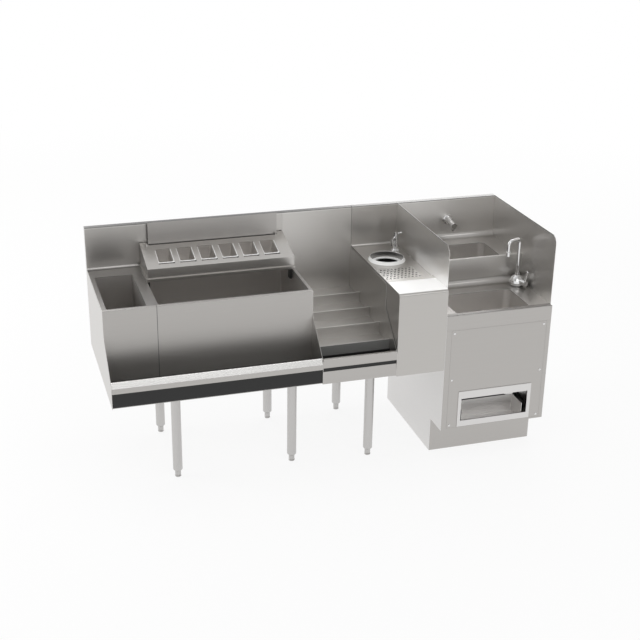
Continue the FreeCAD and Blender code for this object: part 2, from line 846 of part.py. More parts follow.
dump_top = dump_top.cut(rounded_block(insert_x, insert_y, (through_low, through_high), insert_corner))
ledge_ring = rounded_block(
    grow(insert_x, sheet), grow(insert_y, sheet), (under_deck - 2 * insert_ledge_thickness, under_deck),
    insert_corner + sheet)
ledge_mouth = rounded_block(
    grow(insert_x, -insert_ledge), grow(insert_y, -insert_ledge), (under_deck - 4 * sheet, work_height),
    insert_corner)
dump_top = together([dump_top, ledge_ring.cut(ledge_mouth)])
filler = Vector(x_dump + filler_from_left, -filler_from_splash, work_height)


def shank_hole(foot):
    """Hole in a deck for the neck of a tap that stands at foot."""
    return rod(shank_neck + shank_play, foot - Vector(0, 0, 2 * sheet), foot + Vector(0, 0, sheet))


def tap_shank(foot):
    """Threaded neck through the deck, lock nut below it, and the male inlet."""
    under = foot - Vector(0, 0, sheet + seam)
    neck_end = foot - Vector(0, 0, shank_neck_length)
    nut = rod(shank_neck + nut_rim, under, under - Vector(0, 0, nut_height))
    neck_bar = rod(shank_neck, foot + Vector(0, 0, 1), neck_end)
    inlet = rod(shank_radius, neck_end, foot - Vector(0, 0, shank_length))
    return [nut, neck_bar, inlet]


dump_top = dump_top.cut(shank_hole(filler))
keep("dump_top", dump_top)

left_outline = [
    (y_back, dump_clearance),
    (y_back, splash_top),
    (0.0, splash_top),
    (0.0, work_height + plateau_rise),
    (-dump_depth, work_height + plateau_rise),
    (-dump_depth, dump_clearance),
]
left_radii = {2: sheet, 3: cove, 4: nose_radius + sheet}
dump_left_panel = side_plate(left_outline, x_dump, x_dump + sheet, left_radii)
right_outline = [
    (back_panel_face - seam, dump_clearance + sheet + seam),
    (back_panel_face - seam, under_deck - seam),
    (-plateau_back + plateau_ramp - 2 * sheet, under_deck - seam),
    (-plateau_back - 2 * sheet, under_plateau - seam),
    (-dump_depth + sheet + seam, under_plateau - seam),
    (-dump_depth + sheet + seam, dump_clearance + sheet + seam),
]
keep("dump_side_panels", [
    dump_left_panel,
    side_plate(right_outline, dump_right - sheet, dump_right, {4: nose_radius - seam}),
])

dump_bowl_x = (x_dump + dump_bowl_side, x_sink - dump_bowl_right)
dump_bowl_y = (-dump_bowl_front, -dump_bowl_back)
dump_drain = (sum(dump_bowl_x) / 2, -collar_from_splash - dump_drain_forward)
dump_floor = work_height - bowl_depth
dump_bowl = hung_tub(
    dump_bowl_x, dump_bowl_y, dump_floor, under_deck, dump_bowl_corner, dump_bowl_foot, dump_drain,
    dump_bowl_corner)
keep("dump_bowl", dump_bowl)
dump_pan = floor_pan(dump_left, dump_right, dump_depth - sheet - seam, dump_clearance, [dump_drain])
dump_pan = pierced(dump_pan, filler.x, filler.y, dump_clearance, supply_hole)
keep("floor_pans", [bin_floor_pan, display_floor_pan, dump_pan])

collar_top = work_height + collar_rise
ledge_top = work_height - collar_skirt
collar_profile = [
    (collar_inner, ledge_top),
    (collar_inner, collar_top - collar_bevel),
    (collar_inner + collar_inner_slope, collar_top),
    (collar_outer - collar_edge - collar_outer_slope, collar_top),
    (collar_outer - collar_edge, collar_top - collar_bevel),
    (collar_outer, work_height),
    (collar_neck, work_height),
    (collar_neck, ledge_top - sheet),
    (collar_inner - collar_ledge, ledge_top - sheet),
    (collar_inner - collar_ledge, ledge_top),
]
keep("dump_collar", turned(collar_profile, collar_centre))

basket_top = ledge_top + lift_gap
basket_floor = basket_top - basket_depth
basket_low = basket_radius - basket_taper
basket_thin = basket_wall / 2  # how much the corner's inside stands off its outside
basket_profile = [
    (0.0, basket_floor),
    (basket_low - basket_foot, basket_floor),
    (basket_low, basket_floor + basket_foot),
    (basket_radius, basket_top),
    (collar_inner - basket_play, basket_top),
    (collar_inner - basket_play, basket_top + basket_rim),
    (basket_radius - basket_wall, basket_top + basket_rim),
    (basket_low - basket_wall, basket_floor + basket_foot + basket_thin),
    (basket_low - basket_foot - basket_thin, basket_floor + basket_wall),
    (0.0, basket_floor + basket_wall),
]
basket = turned(basket_profile, collar_centre)
for ring_radius, hole_count in zip(basket_ring_radii, basket_ring_counts):
    for step in range(hole_count):
        angle = 2 * math.pi * step / hole_count
        around = Vector(ring_radius * math.cos(angle), ring_radius * math.sin(angle), basket_floor - 1)
        foot = collar_centre + around
        basket = basket.cut(rod(basket_hole, foot, foot + Vector(0, 0, 3 * basket_wall)))
for height in basket_wall_rows:
    for step in range(basket_wall_count):
        angle = 2 * math.pi * (step + 0.5) / basket_wall_count
        outward = Vector(math.cos(angle), math.sin(angle), 0)
        row_middle = collar_centre + Vector(0, 0, basket_floor + height)
        start = row_middle + outward * (basket_radius - 3 * basket_taper)
        basket = basket.cut(rod(basket_hole, start, row_middle + outward * (basket_radius + basket_taper)))
keep("strainer_basket", basket)

insert_plate = rounded_block(
    grow(insert_x, -insert_play), grow(insert_y, -insert_play), (under_deck + lift_gap, work_height),
    insert_corner - insert_play)
columns = int((insert_width - 2 * insert_rim) // insert_pitch) + 1
rows = int((insert_depth - 2 * insert_rim) // insert_row_pitch) + 1
insert_middle = Vector(sum(insert_x) / 2, sum(insert_y) / 2, 0)
holes = []
for row in range(rows):
    in_row = columns if row % 2 == 0 else columns - 1
    for column in range(in_row):
        x = insert_middle.x + (column - (in_row - 1) / 2) * insert_pitch
        y = insert_middle.y + (row - (rows - 1) / 2) * insert_row_pitch
        holes.append(rod(insert_hole, Vector(x, y, under_deck), Vector(x, y, through_high)))
insert_plate = insert_plate.cut(Part.makeCompound(holes))
keep("drain_insert", insert_plate)

# ---------------------------------------------------------------- sink section
partition_x = (x_sink, x_sink + partition_thickness)
side_splash_x = (x_end - partition_thickness, x_end)


def tall_splash(x):
    """Tall side plate above the cabinet with a round front corner."""
    outline = [
        (y_back, sink_height),
        (y_back, splash_top),
        (-splash_front, splash_top),
        (-splash_front, sink_height),
    ]
    return side_plate(outline, x[0], x[1], {2: splash_corner})


keep("tall_side_plates", [tall_splash(partition_x), tall_splash(side_splash_x)])

sink_x = (partition_x[1] + seam, side_splash_x[0] - seam)
step_top = work_height + step_rise
rear_line = [
    (-step_from_splash, sink_height + step_cove + sheet),
    (-step_from_splash, step_top),
    (-step_from_splash + step_rim, step_top),
    (-step_from_splash + step_rim + step_ramp, work_height),
    (0.0, work_height),
    (0.0, splash_top),
    (y_back, splash_top),
]
rear_top = folded_sheet(rear_line, [2 * bend, bend, bend, sink_cove, bend], sink_x[0], sink_x[1])
front_line_sink = [
    (-dump_depth, apron_foot_height),
    (-dump_depth, sink_height),
    (-step_from_splash, sink_height),
    (-step_from_splash, sink_height + step_cove + sheet - seam),
]
front_top = folded_sheet(front_line_sink, [apron_bend, sink_cove], sink_x[0], sink_x[1])


def sink_limits(margins):
    """Limits given as margins from the sink section's left and right boundary."""
    return (x_sink + margins[0], x_end - margins[1])


def behind(limits):
    """Limits given as distances in front of the splash."""
    return (-max(limits), -min(limits))


def sink_bowl(top_sheet, x, y, deck, drain):
    """Cuts the mouth of a bowl in its deck and hangs the bowl below it."""
    mouth = rounded_block(
        x, y, (deck - sheet - 1, deck + 1), bowl_back_corner, front_corner=bowl_front_corner)
    bowl = hung_tub(
        x, y, deck - bowl_depth, deck - sheet, bowl_back_corner, bowl_foot, drain, bowl_front_corner)
    return top_sheet.cut(mouth), bowl


rear_limits = (sink_limits(rear_bowl_x), behind(rear_bowl_y))
front_limits = (sink_limits(front_bowl_x), behind(front_bowl_y))
rear_drain = (sum(rear_limits[0]) / 2, sum(rear_limits[1]) / 2)
front_drain = (sum(front_limits[0]) / 2, max(front_limits[1]) - front_drain_from_back)
rear_top, rear_bowl = sink_bowl(rear_top, *rear_limits, work_height, rear_drain)
front_top, front_bowl = sink_bowl(front_top, *front_limits, sink_height, front_drain)
keep("sink_bowls", [rear_bowl, front_bowl])

cabinet_x = (x_sink, x_end)
cabinet_side = [
    (y_back, 0.0),
    (y_back, sink_height - seam),
    (-dump_depth, sink_height - seam),
    (-dump_depth, shelf_height),
    (-kick_from_splash, shelf_height),
    (-kick_from_splash, 0.0),
]
left_side = side_plate(cabinet_side, cabinet_x[0], cabinet_x[0] + sheet)
right_side = side_plate(cabinet_side, cabinet_x[1] - sheet, cabinet_x[1])
cabinet_back = block(cabinet_x, (back_panel_face, y_back), (0.0, sink_height - seam))
shelf = block(cabinet_x, (-dump_depth + sheet + seam, y_back), (shelf_height, shelf_height + sheet))
for x, y in (rear_drain, front_drain):
    shelf = pierced(shelf, x, y, shelf_height, pipe_hole)
neck = Vector(x_end - gooseneck_from_right, -gooseneck_from_splash, sink_height)
shelf = pierced(shelf, neck.x, neck.y, shelf_height, supply_hole)
keep("cabinet_body", together([left_side, right_side, cabinet_back, shelf]))
sink_back = block(
    (partition_x[1] + seam, side_splash_x[0] - seam), (back_panel_face, y_back),
    (sink_height, splash_top - sheet - seam))
nodes["back_panels"].append(sink_back)

front_x = (cabinet_x[0] + sheet + seam, cabinet_x[1] - sheet - seam)
front_y = (-dump_depth, -dump_depth + sheet)
front_z = (shelf_height, apron_foot_height - seam)
access_limits = sink_limits(access_x)
access_z = (access_bottom, access_top)
front_frame = block(front_x, front_y, front_z)
front_frame = front_frame.cut(block(access_limits, grow(front_y, 1), access_z))
ledge_y = (front_y[1], front_y[1] + sheet)
ledge_z = (shelf_height + sheet + seam, apron_foot_height - seam)
ledge = block(grow(access_limits, stile_reach), ledge_y, ledge_z)
ledge = ledge.cut(block(
    grow(access_limits, -stile_ledge), grow(ledge_y, 1), (access_bottom, access_top - stile_ledge)))
front_frame = together([front_frame, ledge])

access_face = block(grow(access_limits, -panel_play), front_y, grow(access_z, -panel_play))
inner_x = sink_limits(frame_inner_x)
outer_x = sink_limits(frame_outer_x)
frame_inner_z = [shelf_height + rise for rise in frame_inner_rise]
frame_outer_z = [shelf_height + rise for rise in frame_outer_rise]
window = block(inner_x, grow(front_y, 1), frame_inner_z)
access_face = access_face.cut(window)
bezel_y = (-dump_depth - frame_proud, -dump_depth)
bezel = block(outer_x, bezel_y, frame_outer_z).cut(block(inner_x, grow(bezel_y, 1), frame_inner_z))
keep("opening_bezel", bezel)

screws = []
screw_xs = (access_limits[0] + screw_inset, access_limits[1] - screw_inset)
screw_ends = (access_bottom + screw_inset, access_top - screw_inset)
screw_heights = (screw_ends[0], sum(screw_ends) / 2, screw_ends[1])
for x in screw_xs:
    for z in screw_heights:
        face = Vector(x, -dump_depth, z)
        head = rod(screw_head_radius, face, face - Vector(0, screw_head_height, 0))
        shank = rod(screw_radius, face, Vector(x, ledge_y[1] + screw_tail, z))
        clear = rod(screw_radius + screw_play, face - Vector(0, 1, 0), Vector(x, ledge_y[1] + 1, z))
        access_face = access_face.cut(clear)
        front_frame = front_frame.cut(clear)
        screws.append(together([head, shank]))
keep("access_panel", access_face)
keep("cabinet_front", front_frame)
keep("panel_screws", screws)
keep("toe_kick", block(front_x, (-kick_from_splash, -kick_from_splash + sheet), (0.0, shelf_height - seam)))

catch_limits = sink_limits(catch_x)
catch_front = dump_depth - 2 * sheet - seam
catch_floor = shelf_height + sheet
catch_back = catch_front - catch_depth
catch_high = shelf_height + catch_high_rise
catch_low = shelf_height + catch_low_rise
catch = block(catch_limits, (-catch_front, -catch_back), (catch_floor, catch_high))
catch_inside_x = grow(catch_limits, -catch_wall)
catch_hollow = block(
    catch_inside_x, (-catch_front + catch_wall, -catch_back - catch_wall),
    (catch_floor + catch_wall, catch_high + 1))
catch_mouth = block(
    catch_inside_x, (-catch_front - 1, -catch_front + 2 * catch_wall), (catch_low, catch_high + 1))
keep("catch_bin", catch.cut(catch_hollow).cut(catch_mouth))

# ---------------------------------------------------------------- drains
drain_places = [
    (well_drain, tub_floor_height, hang_clearance),
    (bin_drain, tub_floor_height, hang_clearance),
    (dump_drain, work_height - bowl_depth, dump_clearance),
    (rear_drain, work_height - bowl_depth, work_height - bowl_depth - tail_length / 2),
    (front_drain, sink_height - bowl_depth, sink_height - bowl_depth - tail_length / 2),
]
drains = []
for (x, y), floor, outlet in drain_places:
    foot = outlet - tail_length
    profile = [
        (drain_bore, foot),
        (drain_bore, floor - drain_throat),
        (drain_flange - drain_dish, floor + drain_flange_height / 2),
        (drain_flange - drain_lip, floor + drain_flange_height),
        (drain_flange, floor),
        (drain_body, floor),
        (drain_body, outlet),
        (drain_tail, outlet),
        (drain_tail, foot),
    ]
    drains.append(turned(profile, Vector(x, y, 0)))
keep("drain_fittings", drains)


# ---------------------------------------------------------------- filler tap of the dump section
filler_profile = [(0.0, 0.0), *filler_outline]
filler_profile += [(filler_shoulder, filler_neck - lift_gap), (0.0, filler_neck - lift_gap)]
filler_body = turned(filler_profile, filler)
stem_foot = filler + Vector(0, 0, filler_neck - filler_stem)
stem = rod(filler_stem, stem_foot, filler + Vector(0, 0, filler_stem_top))
keep("filler_tap_body", together([filler_body, stem] + tap_shank(filler)))

to_collar = collar_centre - Vector(filler.x, filler.y, 0)
to_collar.normalize()
spout_hub = filler + Vector(0, 0, filler_neck)
hub_top = spout_hub + Vector(0, 0, filler_hub_height)
arm_middle = spout_hub + Vector(0, 0, filler_hub_height / 2)
stem_clear = rod(filler_stem + swivel_play, spout_hub - Vector(0, 0, 1), hub_top + Vector(0, 0, 1))
hub = rod(filler_hub, spout_hub, hub_top)
arm = rod(filler_arm, arm_middle + to_collar * filler_stem, arm_middle + to_collar * filler_reach)
drop_top = arm_middle + to_collar * filler_reach + Vector(0, 0, filler_arm)
drop_end = drop_top - Vector(0, 0, filler_drop_length)
drop = rod(filler_drop, drop_top, drop_end)
drop_bore = rod(filler_drop_bore, drop_top - Vector(0, 0, 2 * filler_drop), drop_end - Vector(0, 0, 1))
keep("filler_spout", together([hub, arm, drop]).cut(drop_bore).cut(stem_clear))

lever_hub = hub_top + Vector(0, 0, lift_gap)
lever_cap = rod(filler_cap, lever_hub, lever_hub + Vector(0, 0, filler_cap_height))
lever_middle = lever_hub + Vector(0, 0, filler_cap_height / 2)
lever_tip = lever_middle + Vector(filler_lever_reach, 0, filler_lever_rise)
lever_arm = rod(filler_lever_bar, lever_middle + Vector(filler_cap - filler_lever_root, 0, 0), lever_tip)
cap_bore_top = filler + Vector(0, 0, filler_stem_top + lift_gap)
cap_bore = rod(filler_stem + swivel_play, lever_hub - Vector(0, 0, 1), cap_bore_top)
knob = Part.makeSphere(filler_knob, lever_tip)
keep("filler_lever", together([lever_cap, lever_arm, knob]).cut(cap_bore))

# ---------------------------------------------------------------- wall spout
wall = Vector(x_sink + wall_spout_x, 0, work_height + wall_spout_rise)
flange = rod(wall_flange, wall, wall - Vector(0, wall_flange_thickness, 0))
barrel_end = wall - Vector(0, wall_spout_reach, wall_spout_fall)
barrel_line = barrel_end - wall
cone_foot = wall - Vector(0, wall_flange_thickness / 2, 0)
cone = Part.makeCone(wall_cone, wall_barrel, barrel_line.Length / 2, cone_foot, barrel_line)
barrel = rod(wall_barrel, wall + barrel_line * 0.45, barrel_end)
outlet_top = barrel_end - barrel_line * (wall_barrel / barrel_line.Length)
outlet_end = outlet_top - Vector(0, 0, wall_outlet_length)
outlet = rod(wall_outlet, outlet_top, outlet_end)
bore_top = outlet_top - Vector(0, 0, wall_barrel + 2)
outlet_hole = rod(wall_outlet_bore, bore_top, outlet_end - Vector(0, 0, 1))
behind_wall = wall + Vector(0, back_panel_face - 2 * sheet, 0)
before_wall = wall - Vector(0, 1, 0)
wall_shank = rod(shank_radius, before_wall, behind_wall)
rear_top = rear_top.cut(rod(shank_radius + shank_play, before_wall, wall + Vector(0, 2 * sheet, 0)))
keep("wall_spout", together([flange, cone, barrel, outlet, wall_shank]).cut(outlet_hole))

# ---------------------------------------------------------------- gooseneck tap
socket_floor = gooseneck_foot - gooseneck_socket
collar_end = gooseneck_foot + gooseneck_collar_height
bell_profile = [(0.0, 0.0), *gooseneck_outline]
bell_profile += [
    (gooseneck_collar, gooseneck_foot),
    (gooseneck_collar, collar_end),
    (gooseneck_tube + swivel_play, collar_end),
    (gooseneck_tube + swivel_play, socket_floor),
    (0.0, socket_floor),
]
bell = turned(bell_profile, neck)
turn = math.radians(gooseneck_turn)
reach_direction = Vector(math.cos(turn), math.sin(turn), 0)
riser_foot = neck + Vector(0, 0, socket_floor + lift_gap)
riser_end = neck + Vector(0, 0, gooseneck_top - gooseneck_tube - gooseneck_bend)
drop_start = riser_end + reach_direction * gooseneck_reach
arm_start = riser_end + (reach_direction + Vector(0, 0, 1)) * gooseneck_bend
arm_end = drop_start + (Vector(0, 0, 1) - reach_direction) * gooseneck_bend
tip = Vector(drop_start.x, drop_start.y, neck.z + gooseneck_tip)
share = gooseneck_bend * math.sqrt(0.5)
first_crown = riser_end + reach_direction * (gooseneck_bend - share) + Vector(0, 0, share)
second_crown = drop_start - reach_direction * (gooseneck_bend - share) + Vector(0, 0, share)
path = Part.Wire([
    Part.LineSegment(riser_foot, riser_end).toShape(),
    Part.Arc(riser_end, first_crown, arm_start).toShape(),
    Part.LineSegment(arm_start, arm_end).toShape(),
    Part.Arc(arm_end, second_crown, drop_start).toShape(),
    Part.LineSegment(drop_start, tip).toShape(),
])


def swept_round(radius):
    """Round bar along the gooseneck's line."""
    section = Part.Wire(Part.makeCircle(radius, riser_foot, Vector(0, 0, 1)))
    return path.makePipeShell([section], True, True)


neck_tube = swept_round(gooseneck_tube).cut(swept_round(gooseneck_bore))
nozzle_end = tip - Vector(0, 0, gooseneck_nozzle_overhang)
nozzle_start = nozzle_end + Vector(0, 0, gooseneck_nozzle_length)
nozzle = pipe(gooseneck_nozzle, gooseneck_bore, nozzle_start, nozzle_end)
ring_low = neck + Vector(0, 0, gooseneck_ring_rise)
ring = pipe(gooseneck_ring, gooseneck_bore, ring_low, ring_low + Vector(0, 0, gooseneck_ring_height))
keep("gooseneck_spout", together([neck_tube, nozzle, ring]))

valve_angle = math.radians(valve_turn)
valve_direction = Vector(math.cos(valve_angle), math.sin(valve_angle), 0)
valve_middle = neck + Vector(0, 0, valve_height)
valve_end = valve_middle + valve_direction * valve_reach
valve = rod(valve_radius, valve_middle + valve_direction * valve_root, valve_end)
stem_end = valve_end + valve_direction * valve_stem_length
keep("gooseneck_body", together([bell, valve, rod(valve_stem, valve_end, stem_end)] + tap_shank(neck)))
front_top = front_top.cut(shank_hole(neck))

handle_start = valve_end + valve_direction * lift_gap
handle_hub = rod(handle_radius, handle_start, handle_start + valve_direction * handle_width)
blade_foot = handle_start + valve_direction * (handle_width / 2)
blade_line = Vector(0, 0, handle_rise) + valve_direction * handle_lean
blade_tip = blade_foot + blade_line
blade = Part.makeCone(handle_foot_radius, handle_tip_radius, blade_line.Length, blade_foot, blade_line)
stem_clear = rod(valve_stem + swivel_play, valve_end, stem_end + valve_direction * valve_stem_play)
handle = together([handle_hub, blade, Part.makeSphere(handle_tip_radius, blade_tip)])
keep("gooseneck_lever", handle.cut(stem_clear))

keep("rear_sink_top", rear_top)
keep("front_sink_top", front_top)

# ---------------------------------------------------------------- legs and feet
leg_places = []
for x, front in zip(leg_x, leg_front_from_splash):
    leg_places.append((x, -front))
    leg_places.append((x, -leg_back_from_splash))
tubes = []
leg_inserts = []
sockets = []
for index, (x, y) in enumerate(leg_places):
    tube_top = Vector(x, y, hang_clearance)
    tubes.append(pipe(leg_radius, leg_radius - leg_wall, Vector(x, y, leg_end_height), tube_top))
    plug = leg_radius - leg_wall - swivel_play
    bore = foot_radius + swivel_play
    insert_profile = [
        (bore, leg_end_height - insert_dome),
        (foot_radius + insert_mouth, leg_end_height - insert_dome),
        (leg_radius - insert_shoulder, leg_end_height - insert_dome / 2),
        (leg_radius, leg_end_height),
        (plug, leg_end_height),
        (plug, leg_end_height + insert_plug),
        (bore, leg_end_height + insert_plug),
    ]
    leg_inserts.append(turned(insert_profile, Vector(x, y, 0)))
    socket_foot = Vector(x, y, hang_clearance - socket_height)
    sockets.append(pipe(socket_radius, leg_radius + socket_play, socket_foot, tube_top))
    groove = foot_radius - foot_groove
    groove_foot = foot_pad_height + foot_groove
    groove_top = groove_foot + foot_groove_height
    stem_top = leg_end_height - insert_dome + foot_engage
    foot_profile = [
        (0.0, 0.0),
        (foot_pad_radius - foot_pad_edge, 0.0),
        (foot_pad_radius, foot_pad_edge),
        (foot_pad_radius, foot_pad_height),
        (groove, groove_foot),
        (groove, groove_top),
        (foot_radius, groove_top + foot_groove),
        (foot_radius, stem_top),
        (0.0, stem_top),
    ]
    keep("foot_%d" % (index + 1), turned(foot_profile, Vector(x, y, 0)))
keep("leg_tubes", tubes)
keep("leg_inserts", leg_inserts)
keep("leg_sockets", sockets)

# ---------------------------------------------------------------- write every piece
os.makedirs("parts", exist_ok=True)
for name, pieces in nodes.items():
    shape = pieces[0] if len(pieces) == 1 else Part.makeCompound(pieces)
    shape = shape.copy()
    shape.Placement = Placement(origin_shift, Rotation()).multiply(shape.Placement)
    shape.exportStep("parts/%s.step" % name)
print("pieces written:", len(nodes))
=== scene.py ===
# %% [markdown]
# # Bar sink with ice bin: materials, light and small parts
# A row of stainless underbar units stands on one line: a bottle well, an ice bin with its garnish tray,
# a tiered bottle display, a dump section with a rinse tap, and a double sink on a cabinet.
# The large sheet-metal shapes come from the CAD frame. This lesson gives them their brushed, polished and
# moulded finishes and adds the parts that are better shaped by hand, such as the pans with rolled rims.

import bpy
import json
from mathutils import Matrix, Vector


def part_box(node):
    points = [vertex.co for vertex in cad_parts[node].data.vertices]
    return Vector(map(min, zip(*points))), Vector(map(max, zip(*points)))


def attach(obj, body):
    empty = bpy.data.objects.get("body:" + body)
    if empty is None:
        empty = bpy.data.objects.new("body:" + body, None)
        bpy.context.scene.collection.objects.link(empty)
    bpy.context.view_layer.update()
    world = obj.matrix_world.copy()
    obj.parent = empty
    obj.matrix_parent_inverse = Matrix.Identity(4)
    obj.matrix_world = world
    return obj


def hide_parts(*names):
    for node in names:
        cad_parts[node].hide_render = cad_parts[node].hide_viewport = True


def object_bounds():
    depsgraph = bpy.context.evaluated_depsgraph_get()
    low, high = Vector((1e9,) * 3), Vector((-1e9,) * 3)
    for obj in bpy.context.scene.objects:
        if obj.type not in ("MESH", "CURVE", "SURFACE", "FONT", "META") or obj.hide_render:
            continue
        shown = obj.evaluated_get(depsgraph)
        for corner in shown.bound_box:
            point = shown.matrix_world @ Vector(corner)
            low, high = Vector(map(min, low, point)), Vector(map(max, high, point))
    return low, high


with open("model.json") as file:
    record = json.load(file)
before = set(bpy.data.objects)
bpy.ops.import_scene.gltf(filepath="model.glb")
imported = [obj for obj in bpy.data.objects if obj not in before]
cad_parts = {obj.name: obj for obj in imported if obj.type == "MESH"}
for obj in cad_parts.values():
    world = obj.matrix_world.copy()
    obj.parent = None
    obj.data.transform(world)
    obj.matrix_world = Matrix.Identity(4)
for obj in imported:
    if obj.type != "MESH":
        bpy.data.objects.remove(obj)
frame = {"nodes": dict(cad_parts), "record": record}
cad_low, cad_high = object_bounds()

# %% Modules, and the places that finishes and small parts share
import json
import math
from collections import namedtuple

import bmesh
import bpy
from mathutils import Matrix, Vector

MM = 0.001
WORK_HEIGHT = 762.0 * MM
SINK_DECK = 655.0 * MM         # height of the front sink's deck
SPLASH_DEPTH = 25.4 * MM

row_left = cad_low.x
well_end = row_left + 203.2 * MM
dump_start = row_left + 1117.6 * MM
sink_start = row_left + 1320.8 * MM
splash_y = cad_high.y - SPLASH_DEPTH
splash_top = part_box("display_splash")[1].z
cover_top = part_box("garnish_cover")[1].z
print("CAD box in metres:", [round(side, 3) for side in (cad_high - cad_low)])
print("splash from", round(splash_y, 5), "up to", round(splash_top, 4), "cover up to", round(cover_top, 4))

# %% [markdown]
# ## The camera
# The picture was taken from the left, well above the row, with a long lens, so upright lines lean only a
# little. A camera could be placed by eye, but this place, these three angles and this focal length were
# measured from the row's known sizes, so a later difference is one of shape or finish and not of viewpoint.

# %% Camera at the picture's angle
camera_place = Vector((-1333.6, -4255.85, 2454.1)) * MM
camera_yaw = math.radians(17.457)
camera_pitch = math.radians(22.967)
camera_roll = math.radians(-0.887)
focal_pixels = 1189.0
picture_pixels = 640

forward = Vector((
    math.sin(camera_yaw) * math.cos(camera_pitch),
    math.cos(camera_yaw) * math.cos(camera_pitch),
    -math.sin(camera_pitch),
))
level = Vector((math.cos(camera_yaw), -math.sin(camera_yaw), 0))
down = -level.cross(forward)
right = level * math.cos(camera_roll) + down * math.sin(camera_roll)
up = level * math.sin(camera_roll) - down * math.cos(camera_roll)

camera_data = bpy.data.cameras.new("camera")
camera_data.sensor_width = 36.0
camera_data.lens = focal_pixels / picture_pixels * camera_data.sensor_width
camera_data.clip_end = 200.0   # metres, well past the floor's far corners
camera = bpy.data.objects.new("camera", camera_data)
bpy.context.scene.collection.objects.link(camera)
turn = Matrix((right, up, -forward)).transposed().to_4x4()
camera.matrix_world = Matrix.Translation(camera_place) @ turn
bpy.context.scene.camera = camera
print("lens:", round(camera_data.lens, 2), "mm")

# %% [markdown]
# ## Shader sums written as Python
# A finish is a small sum: grain plus cloud plus scratch. Wiring each Math node by hand hides that sum, so one
# class wraps a socket and lets Python's own operators add the nodes. Every other kind of node comes from
# its single `node` method, which sets the node's settings first and its sockets after.


# %% A socket that can be added and multiplied
class Wire:
    """A socket of a node tree. Arithmetic on it adds Math nodes."""

    def __init__(self, tree, socket=None):
        self.tree = tree
        self.socket = socket

    def node(self, kind, settings=None, sockets=None, output=0):
        """Adds a node of any kind: settings first, then the values or links of its sockets."""
        made = self.tree.nodes.new(kind)
        for key, value in (settings or {}).items():
            setattr(made, key, value)
        for key, value in (sockets or {}).items():
            if isinstance(value, Wire):
                self.tree.links.new(value.socket, made.inputs[key])
            else:
                made.inputs[key].default_value = value
        return Wire(self.tree, made.outputs[output] if made.outputs else None)

    def maths(self, operation, *terms):
        return self.node("ShaderNodeMath", {"operation": operation}, dict(enumerate(terms)))

    def __add__(self, other):
        return self.maths("ADD", self, other)

    __radd__ = __add__

    def __sub__(self, other):
        return self.maths("SUBTRACT", self, other)

    def __rsub__(self, other):
        return self.maths("SUBTRACT", other, self)

    def __mul__(self, other):
        return self.maths("MULTIPLY", self, other)

    __rmul__ = __mul__

    def __abs__(self):
        return self.maths("ABSOLUTE", self)

    def limited(self):
        """The same number, kept between 0 and 1."""
        return self.node("ShaderNodeClamp", sockets={"Value": self})

    def steps(self, low, high):
        """0 below low, 1 above high, and a smooth rise between them."""
        return self.node(
            "ShaderNodeMapRange", {"interpolation_type": "SMOOTHSTEP"},
            {"Value": self, "From Min": low, "From Max": high})


def begin(name):
    """A new empty material and a wire on its tree."""
    material = bpy.data.materials.new(name)
    material.use_nodes = True
    material.node_tree.nodes.clear()
    return material, Wire(material.node_tree)


def grain(wire, stretch, detail=2.0, seed=0.0):
    """Noise on the object's own coordinates, drawn out by the three numbers of stretch, in lines a metre."""
    place = wire.node("ShaderNodeTexCoord", output="Object")
    spread = wire.node(
        "ShaderNodeMapping", {"vector_type": "POINT"},
        {"Vector": place, "Scale": stretch, "Location": (seed, seed * 0.7, seed * 1.3)})
    return wire.node(
        "ShaderNodeTexNoise", {"noise_dimensions": "3D"},
        {"Vector": spread, "Scale": 1.0, "Detail": detail, "Roughness": 0.6})


def blend_colours(factor, low, high):
    """Colour that goes from low to high as factor goes from 0 to 1.

    Sockets of the Mix node share their names, so they are given by number: 0, 6 and 7, and output 2.
    """
    return factor.node("ShaderNodeMix", {"data_type": "RGBA"}, {0: factor, 6: low, 7: high}, output=2)


def shade(tone, share):
    """A tone, made darker or lighter by a share, with its alpha."""
    return (tone[0] * share, tone[1] * share, tone[2] * share, 1)


def finish_surface(wire, sockets):
    """Principled surface on the tree's output."""
    surface = wire.node("ShaderNodeBsdfPrincipled", sockets=sockets)
    wire.node("ShaderNodeOutputMaterial", sockets={"Surface": surface})


print("shader helpers ready")

# %% [markdown]
# ## Zones with a tone of their own
# One sheet can need two tones, such as an inside painted paler or a slot painted with its shadow. A zone
# gives
# them: limits in the object's own coordinates, which stay with a piece when it moves, and a tone that
# replaces the sheet's own inside those limits. Two materials on one mesh would do the same with a hard border
# along an edge, but a zone can end in the middle of a face and can fade out. Most zones here paint light,
# shade or a highlight into a sheet's colour.


# %% Masks on the object's own coordinates
SHARP = 0.5 * MM               # half of the width over which a zone ends
Zone = namedtuple("Zone", "limits tone metal soft", defaults=(1.0, SHARP))


def within(wire, limits, soft=SHARP):
    """1 inside the limits and 0 outside.

    An axis has its low and high limit, and None leaves that side open. "beyond" has the foot and radius of an
    upright cylinder, and everything outside that cylinder counts as inside the limits.
    """
    place = wire.node("ShaderNodeTexCoord", output="Object")
    mask = None
    for axis, (low, high) in limits.items():
        if axis == "beyond":
            centre, low, high = low, high, None
            flat = wire.node("ShaderNodeVectorMath", {"operation": "MULTIPLY"}, {0: place, 1: (1, 1, 0)})
            value = wire.node(
                "ShaderNodeVectorMath", {"operation": "DISTANCE"}, {0: flat, 1: centre}, output="Value")
        else:
            value = wire.node("ShaderNodeSeparateXYZ", sockets={"Vector": place}, output=axis)
        parts = []
        if low is not None:
            parts.append(value.steps(low - soft, low + soft))
        if high is not None:
            parts.append(1 - value.steps(high - soft, high + soft))
        for part in parts:
            mask = part if mask is None else mask * part
    return mask


